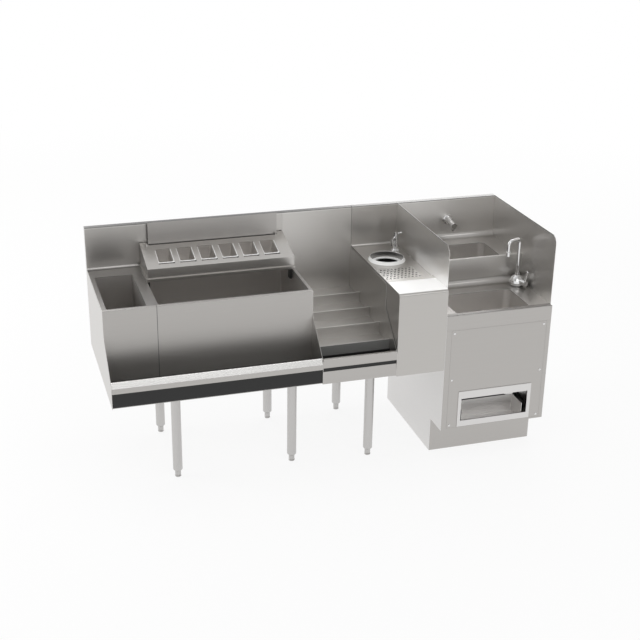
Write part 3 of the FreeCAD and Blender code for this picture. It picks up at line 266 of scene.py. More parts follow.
def facing(wire, axis):
    """1 where the surface looks along an axis, 0 where it is turned away from it by more than 52 degrees."""
    direction = wire.node("ShaderNodeTexCoord", output="Normal")
    cosine = abs(wire.node("ShaderNodeSeparateXYZ", sockets={"Vector": direction}, output=axis))
    return cosine.steps(0.62, 0.78)


print("masks ready, a zone's own values:", Zone._fields)

# %% [markdown]
# ## Brushed stainless steel
# Bar equipment is made of sheet with a belt-ground finish: thousands of hair-thin parallel scratches. They
# spread a reflection, which is why the fronts show a soft gradient and not a mirror image. One noise that is
# very fine across the grain and very long along it gives the scratches. It feeds colour, roughness and a
# slight bump. The belt runs along the row, so plates that face sideways get their grain front to back. That
# choice is made from the surface's own direction, which stays right on every side of a folded sheet. The
# upper edge of a splash gets a dark band of painted shade. On some sheets a pale band of painted
# highlight lies below it, along a folded hem.

# %% Belt-ground sheet
STREAK = 0.05                  # share of the hair-thin lines in the tint
CLOUD = 0.04                   # share of the broad smudges
SCRATCH = 0.12                 # strength of the few long scratches
LIFT_OF_GRAIN = 0.06 * MM      # height that a bump of full strength would have
# Painted shade along the upper edge of a splash, and a painted highlight along the folded hem below it.
EDGE_SHADE_TONE = (0.10, 0.10, 0.10, 1)
EDGE_SHADE_SHARE = 0.8
EDGE_HEIGHT = splash_top - 2.2 * MM
HEM_HIGHLIGHT_TONE = (0.80, 0.79, 0.77, 1)
HEM_HIGHLIGHT_SHARE = 0.5
HEM_DROPS = (4.0 * MM, 1.5 * MM)    # from the dark edge down to the hem's two sides


def brushed(name, tone, roughness, lines=900.0, zone=None, edge_height=EDGE_HEIGHT, hem_highlight=False):
    """Belt-ground sheet whose grain follows the way each face looks, with at most one zone."""
    material, wire = begin(name)
    sideways = facing(wire, "X")
    along_x = grain(wire, (4.0, lines, lines))
    along_y = grain(wire, (lines, 4.0, lines))
    hair = along_x + (along_y - along_x) * sideways
    wide_x = grain(wire, (1.5, lines / 8, lines / 8), seed=3.1)
    wide_y = grain(wire, (lines / 8, 1.5, lines / 8), seed=3.1)
    band = wide_x + (wide_y - wide_x) * sideways
    smudge = grain(wire, (3.2, 3.2, 3.2), detail=3.0, seed=7.7)
    long_scratch = grain(wire, (14.0, 620.0, 620.0), detail=0.0, seed=11.3).steps(0.74, 0.80)
    tint = 0.5 + (hair - 0.5) * STREAK + (band - 0.5) * STREAK + (smudge - 0.5) * CLOUD
    tint = (tint + long_scratch * SCRATCH * 0.3).limited()
    rough = roughness + (hair - 0.5) * 0.05 + (smudge - 0.5) * 0.05 - long_scratch * SCRATCH * 0.12
    bump = wire.node("ShaderNodeBump", sockets={
        "Strength": 0.06, "Distance": LIFT_OF_GRAIN, "Height": hair + long_scratch * 0.5})
    colour = blend_colours(tint, shade(tone, 0.72), shade(tone, 1.28))
    metal = 1.0
    # Painted shade: a dark band over the sheet's upper edge.
    edge = within(wire, {"Z": (edge_height, None)})
    colour = blend_colours(edge * EDGE_SHADE_SHARE, colour, EDGE_SHADE_TONE)
    # Painted highlight: a pale band below that edge, along a folded hem.
    if hem_highlight:
        hem_highlight_band = within(wire, {"Z": (edge_height - HEM_DROPS[0], edge_height - HEM_DROPS[1])})
        colour = blend_colours(hem_highlight_band * HEM_HIGHLIGHT_SHARE, colour, HEM_HIGHLIGHT_TONE)
    if zone:
        mask = within(wire, zone.limits, zone.soft)
        other = blend_colours(tint, shade(zone.tone, 0.90), shade(zone.tone, 1.05))
        colour = blend_colours(mask, colour, other)
        if zone.metal < 1.0:
            metal = 1.0 - mask * (1.0 - zone.metal)
    finish_surface(wire, {
        "Base Color": colour,
        "Roughness": rough.limited(),
        "Metallic": metal,
        "Normal": bump,
    })
    return material


print("dark edge from", round(EDGE_HEIGHT, 4), "m up")

# %% [markdown]
# ## One steel for each kind of sheet
# The tones were set one sheet at a time against the picture, so most of them are lit and shaded copies of one
# steel: painted light and painted shade. Satin tubs and bowls, the catch bin and the pans are paler than the
# fronts, as painted light for the light that a rough inside wall gathers from all of its other walls. The
# dump bowl's near black is painted shade. Three surfaces read pure white from where the camera stands, so
# their zones are white and no metal, as painted highlights: the raised front of the dump section, the collar
# round the strainer and the strainer's rim.

# %% The steel finishes
STEEL_TONE = (0.475, 0.460, 0.443)
PALE_TONE = (0.60, 0.585, 0.565)
WHITE = (0.92, 0.92, 0.91)

# Painted light: the lower inside of the tall side plates is paler and less metal, for light thrown up onto
# it.
PARTITION_PAINTED_LIGHT = Zone(
    {"X": (None, sink_start + 50.0 * MM), "Y": (None, 50.0 * MM), "Z": (None, WORK_HEIGHT + 53.0 * MM)},
    (0.90, 0.89, 0.88), metal=0.75, soft=30.0 * MM)
# Painted shade: a darker strip of the sink deck in front of the front bowl.
SINK_FRONT_SHADE = Zone({"Y": (None, -281.5 * MM), "Z": (SINK_DECK - 1.5 * MM, None)}, (0.28, 0.27, 0.26))
# Painted reflection: the display's riser is a matt grey in place of what its steel would mirror.
DISPLAY_RISER_REFLECTION = Zone({"Y": (None, -223.8 * MM)}, (0.20, 0.20, 0.195), metal=0.1)
# Painted shadow: a dark line down the front panels, for the shadow in the gap where the well meets the ice
# bin.
FRONT_SEAM_SHADOW = Zone({"X": (well_end - 1.2 * MM, well_end + 1.2 * MM)}, (0.16, 0.16, 0.16))
# Painted shadow: near black inside the slot that holds the garnish cover.
TRAY_SLOT_SHADOW = Zone(
    {"X": (-643.5 * MM, -105.5 * MM), "Y": (257.5 * MM, None), "Z": (None, 859.5 * MM)}, (0.02, 0.02, 0.02))
# Painted highlight: the raised front of the dump section is white and not metal.
RAISED_FRONT_HIGHLIGHT = Zone(
    {"Y": (None, -170.0 * MM), "Z": (WORK_HEIGHT + 5.4 * MM, None)}, (0.96, 0.96, 0.95), metal=0.0)
# Painted highlight: the upper facet of the bottle bar is near white.
UPPER_BAR_HIGHLIGHT = Zone({"Z": (512.0 * MM, None)}, (0.98, 0.97, 0.95))
# Painted highlight: the strainer's rim is white and not metal.
BASKET_RIM_HIGHLIGHT = Zone({"Z": (746.5 * MM, None)}, WHITE, metal=0.0)
# Painted highlight: the outside of the collar round the strainer is white and not metal.
COLLAR_OUTSIDE_HIGHLIGHT = Zone(
    {"beyond": ((dump_start + 93.4 * MM, splash_y - 188.0 * MM, 0.0), 69.0 * MM)}, WHITE, metal=0.0)
# Painted shade: the deck sheets are darker below the work top's height than on their splash.
LOWER_DECK_SHADE = Zone({"Z": (None, WORK_HEIGHT + 2.0 * MM)}, (0.34, 0.33, 0.32))
# Every pan rim lies wholly inside the next zone, so its tone is simply theirs: a near-white painted
# highlight.
WHOLE_RIM_HIGHLIGHT = Zone({"Z": (700.0 * MM, None)}, (0.90, 0.90, 0.89), metal=0.3)

steel = brushed("brushed_steel", STEEL_TONE, 0.31)
cover_steel = brushed("cover_brushed_steel", (0.43, 0.415, 0.40), 0.31, edge_height=cover_top - 0.8 * MM)
pale_steel = brushed("pale_brushed_steel", PALE_TONE, 0.33, hem_highlight=True)
plate_steel = brushed("side_plate_steel", (0.69, 0.675, 0.655), 0.34, zone=PARTITION_PAINTED_LIGHT)
sink_steel = brushed("front_sink_steel", STEEL_TONE, 0.31, zone=SINK_FRONT_SHADE)
step_steel = brushed("display_step_steel", PALE_TONE, 0.33, zone=DISPLAY_RISER_REFLECTION)
# Painted light: a paler copy of the steel for the cabinet's sides and the opening's bezel.
side_steel_painted_light = brushed("satin_side_steel_painted_light", (0.70, 0.69, 0.68), 0.36)
front_steel = brushed("front_brushed_steel", STEEL_TONE, 0.40, zone=FRONT_SEAM_SHADOW)
tray_steel = brushed("tray_brushed_steel", (0.55, 0.535, 0.515), 0.31, zone=TRAY_SLOT_SHADOW)
dump_top_steel = brushed("dump_top_steel", (0.52, 0.505, 0.485), 0.31, zone=RAISED_FRONT_HIGHLIGHT, hem_highlight=True)
bar_steel = brushed("bottle_bar_steel", STEEL_TONE, 0.26, lines=1200.0, zone=UPPER_BAR_HIGHLIGHT)
# Painted shade: the steel strainer is near black, for the shade inside it, with its rim as a painted
# highlight.
basket_painted_shade = brushed("strainer_basket_painted_shade", (0.05, 0.05, 0.05), 0.40, zone=BASKET_RIM_HIGHLIGHT)
bowl_shade = brushed("shaded_dump_bowl", (0.10, 0.10, 0.10), 0.40)
collar_highlight_steel = brushed("collar_painted_highlight", (0.34, 0.33, 0.32), 0.34, zone=COLLAR_OUTSIDE_HIGHLIGHT)
deck_steel = brushed("deck_brushed_steel", (0.53, 0.515, 0.495), 0.31, zone=LOWER_DECK_SHADE, hem_highlight=True)
# Painted highlight: the pan rims get a near-white steel.
rim_painted_highlight = brushed("pan_rim_painted_highlight", (0.96, 0.95, 0.94), 0.50, lines=1600.0, zone=WHOLE_RIM_HIGHLIGHT)
# Painted light: the catch bin, tubs, bowls and pans get paler copies of the steel for light gathered inside
# them.
catch_steel = brushed("satin_catch_bin", (0.90, 0.885, 0.87), 0.42)
tub_steel = brushed("satin_tub_steel", (0.68, 0.66, 0.64), 0.40, lines=1200.0)
bowl_steel = brushed("satin_bowl_steel", (0.84, 0.82, 0.80), 0.38, lines=1200.0)
bright_steel = brushed("bright_rail_steel", (0.70, 0.69, 0.67), 0.24, lines=1200.0)
pan_steel = brushed("satin_pan_steel", (0.80, 0.78, 0.76), 0.34, lines=1600.0)
print("steel finishes:", steel.name, pale_steel.name, tub_steel.name, bowl_steel.name, pan_steel.name)

# %% [markdown]
# ## Polished taps, satin legs and cast feet
# Taps are polished and plated, so they show crisp dark and light bands from everything near them; only
# faint polishing rings and a few dried drops break the mirror. The legs are drawn tube with a satin polish
# that runs round the tube, and they read almost white under soft light.


# %% Turned and polished finishes
def turned_metal(name, tone, roughness, rings, ring_share, drops=0.0):
    """Round metal with faint rings round the upright axis and optional dried drops."""
    material, wire = begin(name)
    ring = grain(wire, (9.0, 9.0, rings), detail=3.0)
    haze = grain(wire, (18.0, 18.0, 18.0), detail=3.0, seed=5.0)
    spots = wire.node(
        "ShaderNodeTexVoronoi", {"feature": "F1"},
        {"Vector": wire.node("ShaderNodeTexCoord", output="Object"), "Scale": 160.0, "Randomness": 1.0})
    drop = 1 - spots.steps(0.10, 0.16)
    tint = (0.5 + (ring - 0.5) * ring_share + (haze - 0.5) * 0.12).limited()
    rough = (roughness + (haze - 0.5) * 0.08 + (ring - 0.5) * ring_share * 0.4 + drop * drops).limited()
    bump = wire.node("ShaderNodeBump", sockets={"Strength": 0.08, "Distance": 0.04 * MM, "Height": ring})
    finish_surface(wire, {
        "Base Color": blend_colours(tint, shade(tone, 0.86), shade(tone, 1.12)),
        "Roughness": rough,
        "Metallic": 1.0,
        "Normal": bump,
    })
    return material


chrome = turned_metal("polished_chrome", (0.80, 0.80, 0.80), 0.07, 500.0, 0.05, drops=0.10)
leg_steel = turned_metal("satin_leg_tube", (0.56, 0.55, 0.54), 0.34, 700.0, 0.10)
foot_steel = turned_metal("cast_foot_steel", (0.54, 0.53, 0.52), 0.40, 300.0, 0.16)
print("turned finishes:", chrome.name, leg_steel.name, foot_steel.name)

# %% [markdown]
# ## Black rail liner, guides and foam
# The bottle rails hold a removable black liner of moulded plastic. It has a fine leathery skin. Bottles leave
# pale scuffs on its upper edges, and its inside is painted a paler grey as painted light. The foam behind the
# ice bin is never seen in use, but it is a real piece, so it gets its cells too.


# %% Moulded plastic and foam
def moulded(name, tone, roughness, skin, scuff_height=None, painted_light_zone=None):
    """Moulded plastic with a pebbled skin, scuffs that grow towards one height, and one zone of painted
    light.
    """
    material, wire = begin(name)
    place = wire.node("ShaderNodeTexCoord", output="Object")
    pebble = wire.node(
        "ShaderNodeTexVoronoi", {"feature": "SMOOTH_F1"}, {"Vector": place, "Scale": skin, "Smoothness": 0.6})
    haze = grain(wire, (5.0, 5.0, 5.0), detail=4.0)
    scrape = grain(wire, (22.0, 240.0, 240.0), detail=3.0, seed=4.0).steps(0.60, 0.74)
    wear = scrape * 0.5
    if scuff_height is not None:
        height = wire.node("ShaderNodeSeparateXYZ", sockets={"Vector": place}, output="Z")
        wear = scrape * height.steps(scuff_height - 30.0 * MM, scuff_height) + scrape * 0.25
    tint = ((haze - 0.5) * 0.5 + 0.35 + wear * 0.6).limited()
    bump = wire.node("ShaderNodeBump", sockets={"Strength": 0.35, "Distance": 0.2 * MM, "Height": pebble})
    colour = blend_colours(tint, shade(tone, 0.7), shade(tone, 1.9))
    # Painted light: a paler grey inside the zone.
    if painted_light_zone:
        paler = blend_colours(tint, shade(painted_light_zone.tone, 0.8), shade(painted_light_zone.tone, 1.2))
        colour = blend_colours(within(wire, painted_light_zone.limits, painted_light_zone.soft), colour, paler)
    finish_surface(wire, {
        "Base Color": colour,
        "Roughness": (roughness + (haze - 0.5) * 0.16 + wear * 0.15).limited(),
        "Metallic": 0.0,
        "Normal": bump,
    })
    return material


def foam_finish(name, tone):
    """Closed-cell foam: rounded cells with slightly darker walls."""
    material, wire = begin(name)
    place = wire.node("ShaderNodeTexCoord", output="Object")
    cell = wire.node("ShaderNodeTexVoronoi", {"feature": "F1"}, {"Vector": place, "Scale": 420.0})
    patch = grain(wire, (12.0, 12.0, 12.0), detail=4.0)
    tint = (1 - cell * 0.6 + (patch - 0.5) * 0.5).limited()
    bump = wire.node("ShaderNodeBump", sockets={"Strength": 0.6, "Distance": 0.6 * MM, "Height": 1 - cell})
    finish_surface(wire, {
        "Base Color": blend_colours(tint, shade(tone, 0.7), shade(tone, 1.05)),
        "Roughness": 0.9,
        "Metallic": 0.0,
        "Normal": bump,
    })
    return material


# Painted light: the liner's inside is painted a paler grey than its black skin.
LINER_INSIDE_PAINTED_LIGHT = Zone({"Y": (-304.5 * MM, -229.2 * MM), "Z": (None, 504.0 * MM)}, (0.42, 0.42, 0.41))
rail_black = moulded(
    "rail_liner_black", (0.009, 0.009, 0.009), 0.48, 900.0, scuff_height=505.0 * MM, painted_light_zone=LINER_INSIDE_PAINTED_LIGHT)
guide_black = moulded("guide_black", (0.020, 0.020, 0.020), 0.38, 1400.0)
foam = foam_finish("insulation_foam", (0.72, 0.63, 0.42))
print("moulded finishes:", rail_black.name, guide_black.name, foam.name)

# %% [markdown]
# ## Dress the CAD pieces
# Each CAD node keeps its shape and only changes what is in its material slots. The record already says which
# finish every node belongs to, so one small table from finish to material dresses most of the row. A second
# table names the nodes whose sheet has a tone or a zone of its own.

# %% Give every CAD node its finish
FINISHES = {
    "stainless": steel,
    "bright_steel": bright_steel,
    "pan_steel": pan_steel,
    "leg_steel": leg_steel,
    "foot_steel": foot_steel,
    "chrome": chrome,
    "rail_black": rail_black,
    "guide_black": guide_black,
    "foam": foam,
}
OWN_FINISHES = {
    "well_liner": tub_steel,
    "bin_liner": tub_steel,
    "sink_bowls": bowl_steel,
    "front_panels": front_steel,
    "well_top": deck_steel,
    "bin_top": deck_steel,
    "opening_bezel": side_steel_painted_light,
    "catch_bin": catch_steel,
    "garnish_cover": cover_steel,
    "garnish_tray": tray_steel,
    "tray_frame": tray_steel,
    "display_steps": step_steel,
    "display_splash": pale_steel,
    "dump_side_panels": pale_steel,
    "tall_side_plates": plate_steel,
    "end_panels": pale_steel,
    "rear_sink_top": pale_steel,
    "front_sink_top": sink_steel,
    "cabinet_body": side_steel_painted_light,
    "bin_rail_bar": bar_steel,
    "dump_top": dump_top_steel,
    "dump_collar": collar_highlight_steel,
    "strainer_basket": basket_painted_shade,
    "dump_bowl": bowl_shade,
}
slot_of_node = {part["node"]: part["material_slot"] for part in frame["record"]["subparts"]}
for node_name, node in frame["nodes"].items():
    for material_slot in node.material_slots:
        material_slot.material = OWN_FINISHES.get(node_name, FINISHES[slot_of_node[node_name]])
print("finishes in the record:", sorted(set(slot_of_node.values())), "own finishes:", len(OWN_FINISHES))

# %% [markdown]
# ## From a bmesh to a piece
# Every new piece goes the same way: a bmesh starts from one of Blender's own shapes, a few operators form
# it, its place is put into its mesh, and it joins the body it moves with. Doubles are merged and normals
# are recalculated before the mesh is stored, because a spin or a mirror can turn a surface inside out.


# %% Store a bmesh as a piece of one body
def store(bm, name, finish, body, smooth_angle=35.0):
    """Makes the bmesh an object of one body, with smooth shading except at its sharp edges.

    The finish is one material, or a tuple of materials for a mesh whose faces have a material number.
    """
    bmesh.ops.remove_doubles(bm, verts=bm.verts, dist=0.001 * MM)
    bmesh.ops.recalc_face_normals(bm, faces=bm.faces)
    for face in bm.faces:
        face.smooth = True
    for edge in bm.edges:
        edge.smooth = edge.calc_face_angle(0.0) < math.radians(smooth_angle)
    mesh = bpy.data.meshes.new(name)
    bm.to_mesh(mesh)
    bm.free()
    for one in finish if isinstance(finish, tuple) else (finish,):
        mesh.materials.append(one)
    piece = bpy.data.objects.new(name, mesh)
    bpy.context.scene.collection.objects.link(piece)
    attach(piece, body)
    return piece


def spun(bm, outline, middle, steps=32):
    """Turns a line of (radius, height) points once round the upright axis through middle."""
    place = Vector(middle)
    upright = Vector((0, 0, 1))
    out = upright.orthogonal().normalized()
    line = [bm.verts.new(place + out * radius + upright * height) for radius, height in outline]
    edges = [bm.edges.new(pair) for pair in zip(line, line[1:])]
    bmesh.ops.spin(
        bm, geom=line + edges, cent=place, axis=upright, angle=math.tau, steps=steps, use_merge=True)


def rounded_panel(bm, width, depth, back_corner, front_corner, segments=6):
    """One flat face centred on the origin, with rounded corners."""
    made = bmesh.ops.create_grid(bm, x_segments=1, y_segments=1, size=0.5)
    bmesh.ops.scale(bm, vec=(width, depth, 1), verts=made["verts"])
    corners = {back_corner: [], front_corner: []}
    for vert in made["verts"]:
        corners[back_corner if vert.co.y > 0 else front_corner].append(vert)
    for corner, verts in corners.items():
        bmesh.ops.bevel(
            bm, geom=verts, affect="VERTICES", offset=corner, offset_type="OFFSET",
            segments=segments, profile=0.5, material=-1)
    return bm.faces[:]


def widen(bm, loop, grow_x, grow_y, lift=0.0):
    """Extrudes a loop of edges and moves the copy outwards, inwards or along Z."""
    made = bmesh.ops.extrude_edge_only(bm, edges=loop)
    verts = [item for item in made["geom"] if isinstance(item, bmesh.types.BMVert)]
    edges = [item for item in made["geom"] if isinstance(item, bmesh.types.BMEdge)]
    reach_x = max(abs(vert.co.x) for vert in verts)
    reach_y = max(abs(vert.co.y) for vert in verts)
    scale = (1 + grow_x / reach_x, 1 + grow_y / reach_y, 1)
    bmesh.ops.scale(bm, vec=scale, verts=verts)
    bmesh.ops.translate(bm, vec=(0, 0, lift), verts=verts)
    return [edge for edge in edges if edge.is_boundary]


def quarter_round(bm, loop, reach, fall, steps=5):
    """Extrudes a loop of edges along a quarter of an ellipse, first outwards and then down."""
    for step in range(steps):
        before = math.pi / 2 * step / steps
        after = math.pi / 2 * (step + 1) / steps
        outward = (math.sin(after) - math.sin(before)) * reach
        loop = widen(bm, loop, outward, outward, -(math.cos(before) - math.cos(after)) * fall)
    return loop


print("piece helpers ready")

# %% [markdown]
# ## Garnish pans with rolled rims
# The six pans are pressed from thin sheet: a rounded mouth, walls that draw in a little so that pans nest,
# a soft corner round the floor and a narrow rim with a raised bead. The CAD pan has the right size but
# square edges. Starting from one rounded face, a few extrusions make the pressed shape: inward and down for
# the pan, outward and over for the bead. The thickness comes next, so that every wall has it, and last the
# faces near the top get the second material, which is the rim's painted highlight.

# %% Press one pan flat, then lay it on the slope
PAN_MOUTH = (60.0 * MM, 100.0 * MM)
PAN_DEPTH = 79.0 * MM
PAN_SHEET = 0.8 * MM
PAN_CORNER = 8.0 * MM
PAN_LIP = 1.5 * MM             # rounding between rim and wall
PAN_DRAW = 3.0 * MM            # how far each wall leans in
PAN_FOOT = 7.0 * MM            # rounding between wall and floor
SLOPE = math.radians(14.5)
RIM_TOP = 2.5 * MM             # height of the rim's bead above the sloped sheet
RIM_REACH = 6.0 * MM
RIM_BAND = 1.6 * MM            # height of the faces that count as the rim
BEAD_STEPS = ((3.2, 0.0), (0.5, 0.7), (0.6, 0.5), (0.6, 0.0), (0.5, -0.5), (0.2, -1.2))    # out and up, mm


def pressed_pan(bm):
    """Pan with the middle of its mouth on the origin and its flat rim at z = 0, before it gets thickness."""
    face = rounded_panel(bm, PAN_MOUTH[0], PAN_MOUTH[1], PAN_CORNER, PAN_CORNER)[0]
    mouth = face.edges[:]
    bmesh.ops.delete(bm, geom=[face], context="FACES_ONLY")
    down_1 = widen(bm, mouth, -PAN_LIP * 0.3, -PAN_LIP * 0.3, -PAN_LIP * 0.3)
    down_2 = widen(bm, down_1, -PAN_LIP * 0.2, -PAN_LIP * 0.2, -PAN_LIP)
    wall = widen(bm, down_2, -PAN_DRAW, -PAN_DRAW, -(PAN_DEPTH - PAN_LIP * 1.3 - PAN_FOOT))
    turn_1 = widen(bm, wall, -PAN_FOOT * 0.3, -PAN_FOOT * 0.3, -PAN_FOOT * 0.7)
    turn_2 = widen(bm, turn_1, -PAN_FOOT * 0.7, -PAN_FOOT * 0.7, -PAN_FOOT * 0.3)
    bmesh.ops.contextual_create(bm, geom=turn_2)
    bead = mouth
    for outward, lift in BEAD_STEPS:
        bead = widen(bm, bead, outward * MM, outward * MM, lift * MM)
    bmesh.ops.recalc_face_normals(bm, faces=bm.faces)
    bmesh.ops.solidify(bm, geom=bm.faces[:], thickness=PAN_SHEET)
    # The faces near the top get the rim's painted highlight.
    rim_foot = max(vert.co.z for vert in bm.verts) - RIM_BAND
    for face in bm.faces:
        face.material_index = int(face.calc_center_median().z > rim_foot)


for index in range(1, 7):
    pan_low, pan_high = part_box("garnish_pan_%d" % index)
    bm = bmesh.new()
    pressed_pan(bm)
    local_top = max(vert.co.z for vert in bm.verts)
    bmesh.ops.translate(bm, vec=(0, -PAN_MOUTH[1] / 2, RIM_TOP - local_top), verts=bm.verts)
    back_y = pan_high.y - RIM_REACH * math.cos(SLOPE)
    back_z = pan_high.z - RIM_REACH * math.sin(SLOPE) - RIM_TOP * math.cos(SLOPE)
    lay = Matrix.Translation(((pan_low.x + pan_high.x) / 2, back_y, back_z)) @ Matrix.Rotation(SLOPE, 4, "X")
    bmesh.ops.transform(bm, matrix=lay, verts=bm.verts)
    pan = store(bm, "pressed_pan_%d" % index, (pan_steel, rim_painted_highlight), "pan_%d" % index)
    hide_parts("garnish_pan_%d" % index)
print("pans pressed:", 6, "triangles each about", len(pan.data.polygons) * 2)

# %% [markdown]
# ## Rolled edges of the bowls
# A sink bowl is welded under its deck and the joint is ground into a soft round, which catches a thin line
# of light all the way round. The CAD deck ends in a square cut. A narrow quarter-round ring, grown from the
# same rounded rectangle as the opening, lies over that cut and gives the line of light its real shape.


# %% Ground rings round the openings
BACK_CORNER = 28.0 * MM
FRONT_CORNER = 10.0 * MM
RING_REACH = 1.0 * MM          # how far the ring lies on the deck
RING_INSIDE = 0.25 * MM        # how far it reaches into the opening
RING_DROP = 1.0 * MM
RING_SKIRT = 1.5 * MM          # height of its upright end
RING_LEAN = 0.05 * MM          # how far that end leans in
RING_PROUD = 0.12 * MM         # how far the ring stands above the deck
# The openings, as the X of both sides from the section's left end and the Y of both sides from the splash.
REAR_OPENING = ((60.0 * MM, 371.2 * MM), (-272.0 * MM, -88.5 * MM))
FRONT_OPENING = ((48.0 * MM, 365.2 * MM), (-568.0 * MM, -378.0 * MM))


def ground_ring(name, opening, deck):
    """Quarter-round ring that leads from the deck into an opening."""
    low_x, high_x = (sink_start + side for side in opening[0])
    low_y, high_y = (splash_y + side for side in opening[1])
    width, depth = high_x - low_x, high_y - low_y
    bm = bmesh.new()
    face = rounded_panel(bm, width, depth, BACK_CORNER, FRONT_CORNER, segments=10)[0]
    outer = face.edges[:]
    bmesh.ops.delete(bm, geom=[face], context="FACES_ONLY")
    bmesh.ops.scale(
        bm, vec=(1 + 2 * RING_REACH / width, 1 + 2 * RING_REACH / depth, 1), verts=bm.verts)
    inner = quarter_round(bm, outer, -(RING_REACH + RING_INSIDE), RING_DROP)
    widen(bm, inner, -RING_LEAN, -RING_LEAN, -RING_SKIRT)
    middle = ((low_x + high_x) / 2, (low_y + high_y) / 2, deck + RING_PROUD)
    bmesh.ops.translate(bm, vec=middle, verts=bm.verts)
    return store(bm, name, steel, "row", smooth_angle=60.0)


rear_ring = ground_ring("rear_bowl_edge", REAR_OPENING, WORK_HEIGHT)
front_ring = ground_ring("front_bowl_edge", FRONT_OPENING, SINK_DECK)
print("ground rings:", rear_ring.name, front_ring.name)

# %% [markdown]
# ## Screws of the access panel
# The panel is held by six pan-head screws with a cross recess. The head is a disc of slices whose rim is
# extruded along a quarter round. The recess is cut by pushing four pairs of slices down, one pair for each
# arm of the cross.


# %% Pan-head screws
HEAD_RADIUS = 5.0 * MM
HEAD_HEIGHT = 2.4 * MM
HEAD_FLAT = 0.46               # share of the radius that is flat on top
RECESS_DEPTH = 0.6             # share of the head's height
TOP_SLICES = 24


def screw_head(bm, place):
    """Domed head that looks along -Y, with a cross recess."""
    made = bmesh.ops.create_circle(
        bm, cap_ends=True, cap_tris=True, segments=TOP_SLICES, radius=HEAD_RADIUS * HEAD_FLAT)
    cap = list({face for vert in made["verts"] for face in vert.link_faces})
    cap.sort(key=lambda face: math.atan2(face.calc_center_median().y, face.calc_center_median().x))
    rim = [edge for edge in {edge for face in cap for edge in face.edges} if edge.is_boundary]
    quarter_round(bm, rim, HEAD_RADIUS * (1 - HEAD_FLAT), HEAD_HEIGHT)
    quarter = TOP_SLICES // 4
    cross = [face for number, face in enumerate(cap) if number % quarter in (0, quarter - 1)]
    sunk = bmesh.ops.extrude_face_region(bm, geom=cross)
    sunk_verts = [item for item in sunk["geom"] if isinstance(item, bmesh.types.BMVert)]
    bmesh.ops.translate(bm, vec=(0, 0, -HEAD_HEIGHT * RECESS_DEPTH), verts=sunk_verts)
    bmesh.ops.delete(bm, geom=cross, context="FACES_ONLY")
    lay = Matrix.Translation(place) @ Matrix.Rotation(math.pi / 2, 4, "X")
    fresh = list({vert for face in bm.faces for vert in face.verts if not vert.tag})
    bmesh.ops.transform(bm, matrix=lay, verts=fresh)
    for vert in fresh:
        vert.tag = True            # so that the next head leaves this one where it is


screw_low, screw_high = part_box("panel_screws")
low_z, high_z = screw_low.z + HEAD_RADIUS, screw_high.z - HEAD_RADIUS
bm = bmesh.new()
for x in (screw_low.x + HEAD_RADIUS, screw_high.x - HEAD_RADIUS):
    for z in (low_z, (low_z + high_z) / 2, high_z):
        screw_head(bm, Vector((x, screw_low.y, z)))
screws = store(bm, "panel_screw_heads", chrome, "row")
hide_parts("panel_screws")
print("screw heads:", 6, "faces:", len(screws.data.polygons))

# %% [markdown]
# ## Drain crosses
# Looking down into a bowl or tub you see a cross of thin bars across the drain, which keeps lemon slices
# out of the waste. The frame has the fitting with its dished flange and bore, so only the cross is added:
# two bars with rounded tops, each bevelled from a box, and a small ring where they meet.

# %% Crosses in the five drains
TUB_FLOOR = 470.0 * MM
SHALLOW_FLOOR = 612.0 * MM     # of the dump bowl and the rear sink
FRONT_FLOOR = 505.0 * MM
DRAINS = [
    (row_left + 93.0 * MM, splash_y - 262.50 * MM, TUB_FLOOR),
    (row_left + 506.0 * MM, splash_y - 229.50 * MM, TUB_FLOOR),
    (row_left + 1209.3 * MM, splash_y - 248.00 * MM, SHALLOW_FLOOR),
    (sink_start + 215.6 * MM, splash_y - 180.25 * MM, SHALLOW_FLOOR),
    (sink_start + 206.6 * MM, splash_y - 440.00 * MM, FRONT_FLOOR),
]
BORE = 17.2 * MM               # radius inside a drain
BAR_WIDTH = 2.6 * MM
BAR_HEIGHT = 3.0 * MM
BAR_EDGE = 0.6 * MM
CROSS_DEPTH = 9.0 * MM         # from the floor down to the middle of the bars
RING_OUTLINE = [
    (4.5 * MM, 1.5 * MM), (7.0 * MM, 1.5 * MM), (7.6 * MM, 0.8 * MM), (7.6 * MM, -1.5 * MM),
    (4.5 * MM, -1.5 * MM), (4.5 * MM, 1.5 * MM),
]
bm = bmesh.new()
for x, y, floor_height in DRAINS:
    middle = (x, y, floor_height - CROSS_DEPTH)
    for quarter in (math.radians(45), math.radians(135)):
        bar = bmesh.ops.create_cube(bm, size=1.0)["verts"]
        bmesh.ops.scale(bm, vec=(2 * BORE, BAR_WIDTH, BAR_HEIGHT), verts=bar)
        edges = list({edge for vert in bar for edge in vert.link_edges})
        bmesh.ops.rotate(bm, cent=(0, 0, 0), matrix=Matrix.Rotation(quarter, 3, "Z"), verts=bar)
        bmesh.ops.translate(bm, vec=middle, verts=bar)
        bmesh.ops.bevel(
            bm, geom=edges, affect="EDGES", offset=BAR_EDGE, offset_type="OFFSET", segments=2,
            profile=0.5, material=-1)
    spun(bm, RING_OUTLINE, middle)
crosses = store(bm, "drain_crosses", chrome, "row")
print("drain crosses:", len(DRAINS), "piece:", crosses.name)

# %% [markdown]
# ## Floor and background
# A stainless object shows its surroundings more than itself, so the studio is kept plain: a pale floor and a
# white world. The camera sees the world at full white, so the background is clean, and diffuse light gets
# less of it, so that the metal keeps soft shading. Mirror rays see a ceiling that darkens above the horizon,
# most of all on the viewer's side. That is what gives the splashes and the upright fronts their fall from
# light to dark. The floor glows for the camera and for mirror rays just short of white, which leaves the
# row's shadow on it, and fades to full white far away.

